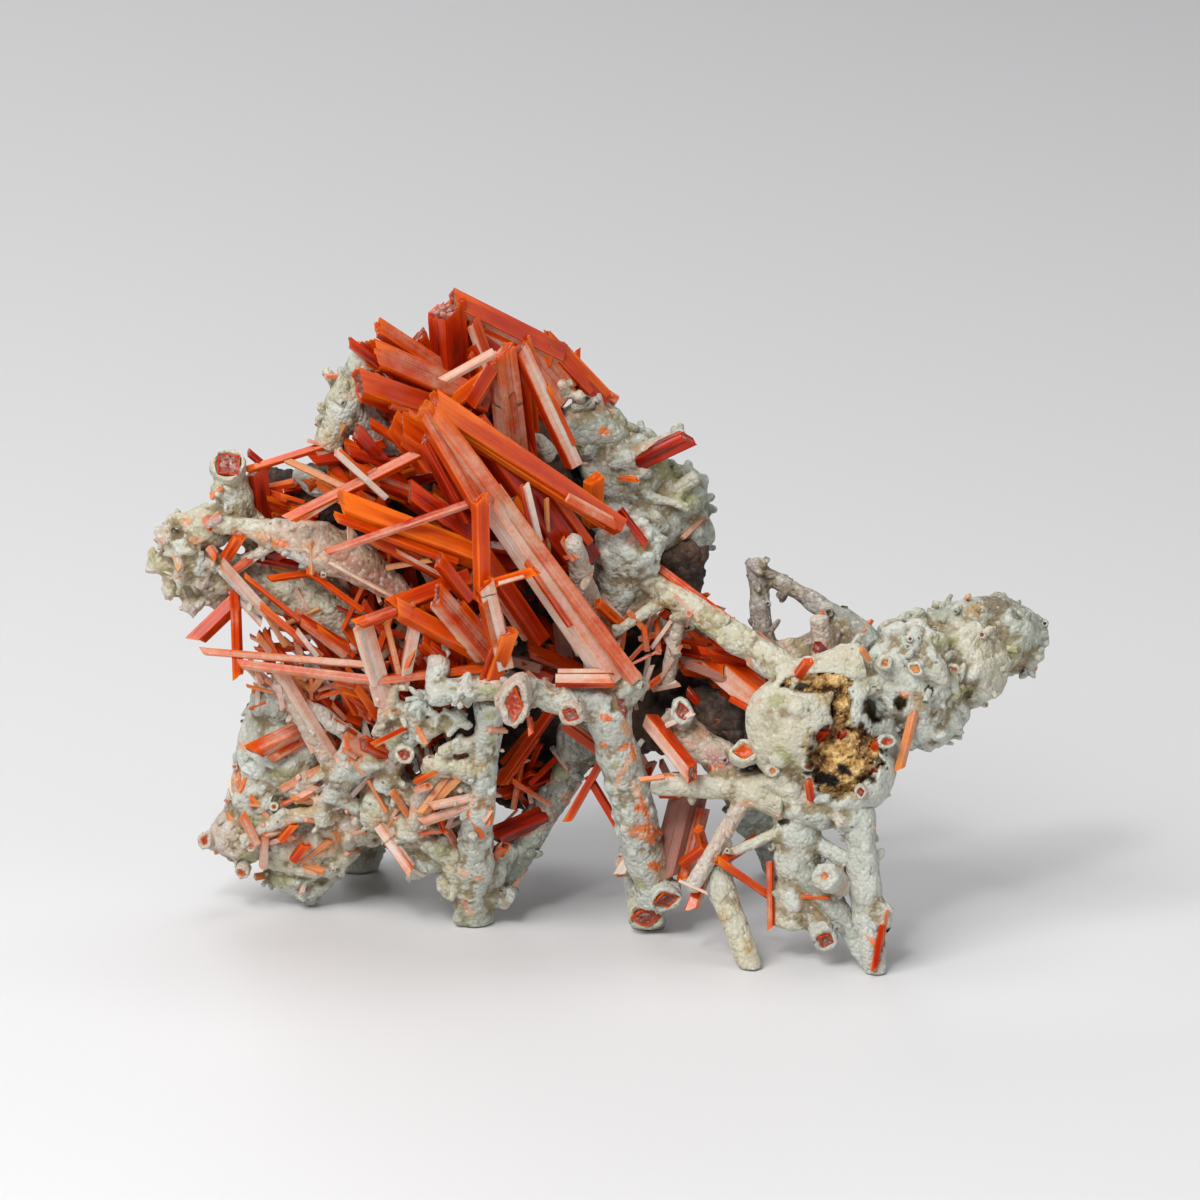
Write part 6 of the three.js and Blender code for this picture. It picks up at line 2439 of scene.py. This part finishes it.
# Near-black gossan: its own dark colour, also serving as painted shade where it shows through gaps.
GOSSAN_AND_GAP_SHADE = EarthFinish(
    name="gossan",
    low=(0.010, 0.006, 0.005),
    middle=(0.035, 0.020, 0.014),
    high=(0.10, 0.055, 0.035),
    patch=(0.14, 0.075, 0.04),
    patch_size=6.0,
    patch_cover=0.36,
    grain=0.9,
    bump=0.0006,
)


# --- Studio ---------------------------------------------------------------------------------------


@dataclass
class Studio:
    """The pale floor, the soft lights and the camera."""

    floor_colour: Colour = (0.70, 0.70, 0.71)
    floor_size: float = 6.0
    floor_drop: float = 0.2 * MM
    floor_run: float = 1.1
    curve_radius: float = 0.9
    curve_points: int = 24
    aim_height: float = 0.04
    clip: Span = (0.05, 20.0)
    sky_colour: Colour = (0.80, 0.82, 0.85)
    sky_strength: float = 0.16
    lens: float = 300.0
    sensor: float = 36.0
    frame_steps: float = 1200.0
    exposure: float = 0.0

    def floor(self) -> None:
        """Lays a plain floor that curves up behind the specimen."""
        depth, radius = self.floor_run, self.curve_radius
        profile = [(-self.floor_size / 2, 0.0), (depth, 0.0)]
        turns = np.linspace(0, math.pi / 2, self.curve_points)
        profile += [(depth + radius * math.sin(t), radius * (1 - math.cos(t))) for t in turns[1:]]
        profile.append((depth + radius, self.floor_size))
        forms = Forms()
        points = np.array([(side * self.floor_size / 2, y, z) for y, z in profile for side in (-1, 1)])
        faces = [(2 * i, 2 * i + 1, 2 * i + 3, 2 * i + 2) for i in range(len(profile) - 1)]
        forms.add(points, faces)
        mesh = forms.mesh("floor")
        mesh.shade_smooth()
        material, wiring, shader = new_material("floor")
        clouds = wiring.group("stain_patches", {"Size": 220.0, "Cover": 0.5, "Softness": 0.9})
        darker = tuple(0.97 * c for c in self.floor_colour)
        colour = wiring.mix(clouds.outputs[0], self.floor_colour, darker)
        wiring.fill(shader, {"Base Color": colour, "Roughness": 0.55})
        mesh.materials.append(material)
        floor = bpy.data.objects.new("floor", mesh)
        floor.location.z = -self.floor_drop
        bpy.context.scene.collection.objects.link(floor)

    def light(self, name: str, place: Spot, size: float, power: float, colour: Colour = (1, 1, 1)) -> None:
        """Hangs a soft light that faces the specimen.

        Args:
            name: its name.
            place: where it hangs, in metres.
            size: its side, in metres.
            power: its power, in watts.
            colour: its colour.
        """
        data = bpy.data.lights.new(name, "AREA")
        data.shape = "SQUARE"
        data.size = size
        data.energy = power
        data.color = colour
        lamp = bpy.data.objects.new(name, data)
        lamp.location = place
        aim = Vector((0, 0, self.aim_height)) - Vector(place)
        lamp.rotation_euler = aim.to_track_quat("-Z", "Y").to_euler()
        bpy.context.scene.collection.objects.link(lamp)

    def camera(self) -> None:
        """Stands the camera at the viewing angle."""
        data = bpy.data.cameras.new("camera")
        data.lens = self.lens
        data.sensor_width = self.sensor
        width = self.frame_steps * GRID.step
        distance = width * self.lens / self.sensor
        eye = GRID.place((self.frame_steps / 2, self.frame_steps / 2, 0)) - GRID.away * distance
        camera = bpy.data.objects.new("camera", data)
        camera.location = eye
        camera.rotation_euler = Vector(GRID.away).to_track_quat("-Z", "Y").to_euler()
        data.clip_start, data.clip_end = self.clip
        bpy.context.scene.collection.objects.link(camera)
        bpy.context.scene.camera = camera

    def build(self) -> None:
        """Sets up the studio."""
        self.floor()
        self.camera()
        self.light("key", (-0.42, -0.55, 0.70), 0.60, 8.5, (1.0, 0.985, 0.96))
        self.light("fill", (0.75, -0.60, 0.30), 0.60, 1.6, (0.96, 0.98, 1.0))
        self.light("top", (0.10, 0.20, 0.95), 0.60, 3.2)
        self.light("back", (-0.3, 0.85, 0.5), 0.50, 1.6)
        self.light("glint", (-0.16, -0.62, 0.62), 0.10, 1.6)
        world = bpy.data.worlds.new("studio")
        world.use_nodes = True
        sky = world.node_tree.nodes["Background"]
        sky.inputs["Color"].default_value = (*self.sky_colour, 1.0)
        sky.inputs["Strength"].default_value = self.sky_strength
        bpy.context.scene.world = world
        bpy.context.scene.view_settings.view_transform = "Standard"
        bpy.context.scene.view_settings.exposure = self.exposure


# --- Assembly -------------------------------------------------------------------------------------


def crystal_axes(rows: list[Row]) -> np.ndarray:
    """Lists the crystals' axes for the stains.

    Args:
        rows: every crystal.

    Returns:
        Root, tip and half width of each, seven numbers in a row.
    """
    return np.array([(*GRID.place(r[0]), *GRID.place(r[1]), r[2] * GRID.step / 2) for r in rows])


def main() -> None:
    """Builds the specimen and its studio."""
    logging.basicConfig(level=logging.INFO, format="%(message)s")
    GRID.settle(CRYSTALS["arch_crystal"][0], "arch_crystal")
    LOG.info("grid shift %s", GRID.shift)
    SharedEffects().build()
    crocoite = CrocoiteFinish().material()
    crust = CrustFinish().material()
    smith = CrystalSmith()
    for name, rows in CRYSTALS.items():
        CrystalCluster(f"{name}_cut", rows, (name,)).build(smith, crocoite)
    fine = CrystalSmith(ribs=2, ledges=1, rng=np.random.default_rng(SMALL_SEED))
    CrystalCluster("small_crystals", SMALL_CRYSTALS, ()).build(fine, crocoite)
    rng = np.random.default_rng(SPRAY_SEED)
    sprayed = [row for spray in SPRAYS for row in spray.rows(rng)]
    needles = CrystalSmith(ribs=1, ledges=1, rng=np.random.default_rng(NEEDLE_SEED))
    CrystalCluster("needle_crystals", sprayed, ()).build(needles, crocoite)
    axes = crystal_axes([row for rows in CRYSTALS.values() for row in rows] + SMALL_CRYSTALS)
    mason = CrustMason()
    for name, branch in BRANCHES.items():
        mason.build(name, branch, axes, crust)
    CrystalCluster("crust_chips", mason.chips, ()).build(needles, crocoite)
    CoredEnds(CORED_ENDS).build(fine, crust, crocoite)
    POCKET.build(mason, LIMONITE.material())
    CORE.build(mason, GOSSAN_AND_GAP_SHADE.material())
    Studio().build()
    triangles = sum(len(p.vertices) - 2 for m in bpy.data.meshes if m.users for p in m.polygons)
    LOG.info("%d triangles", triangles)


if __name__ == "__main__":
    main()
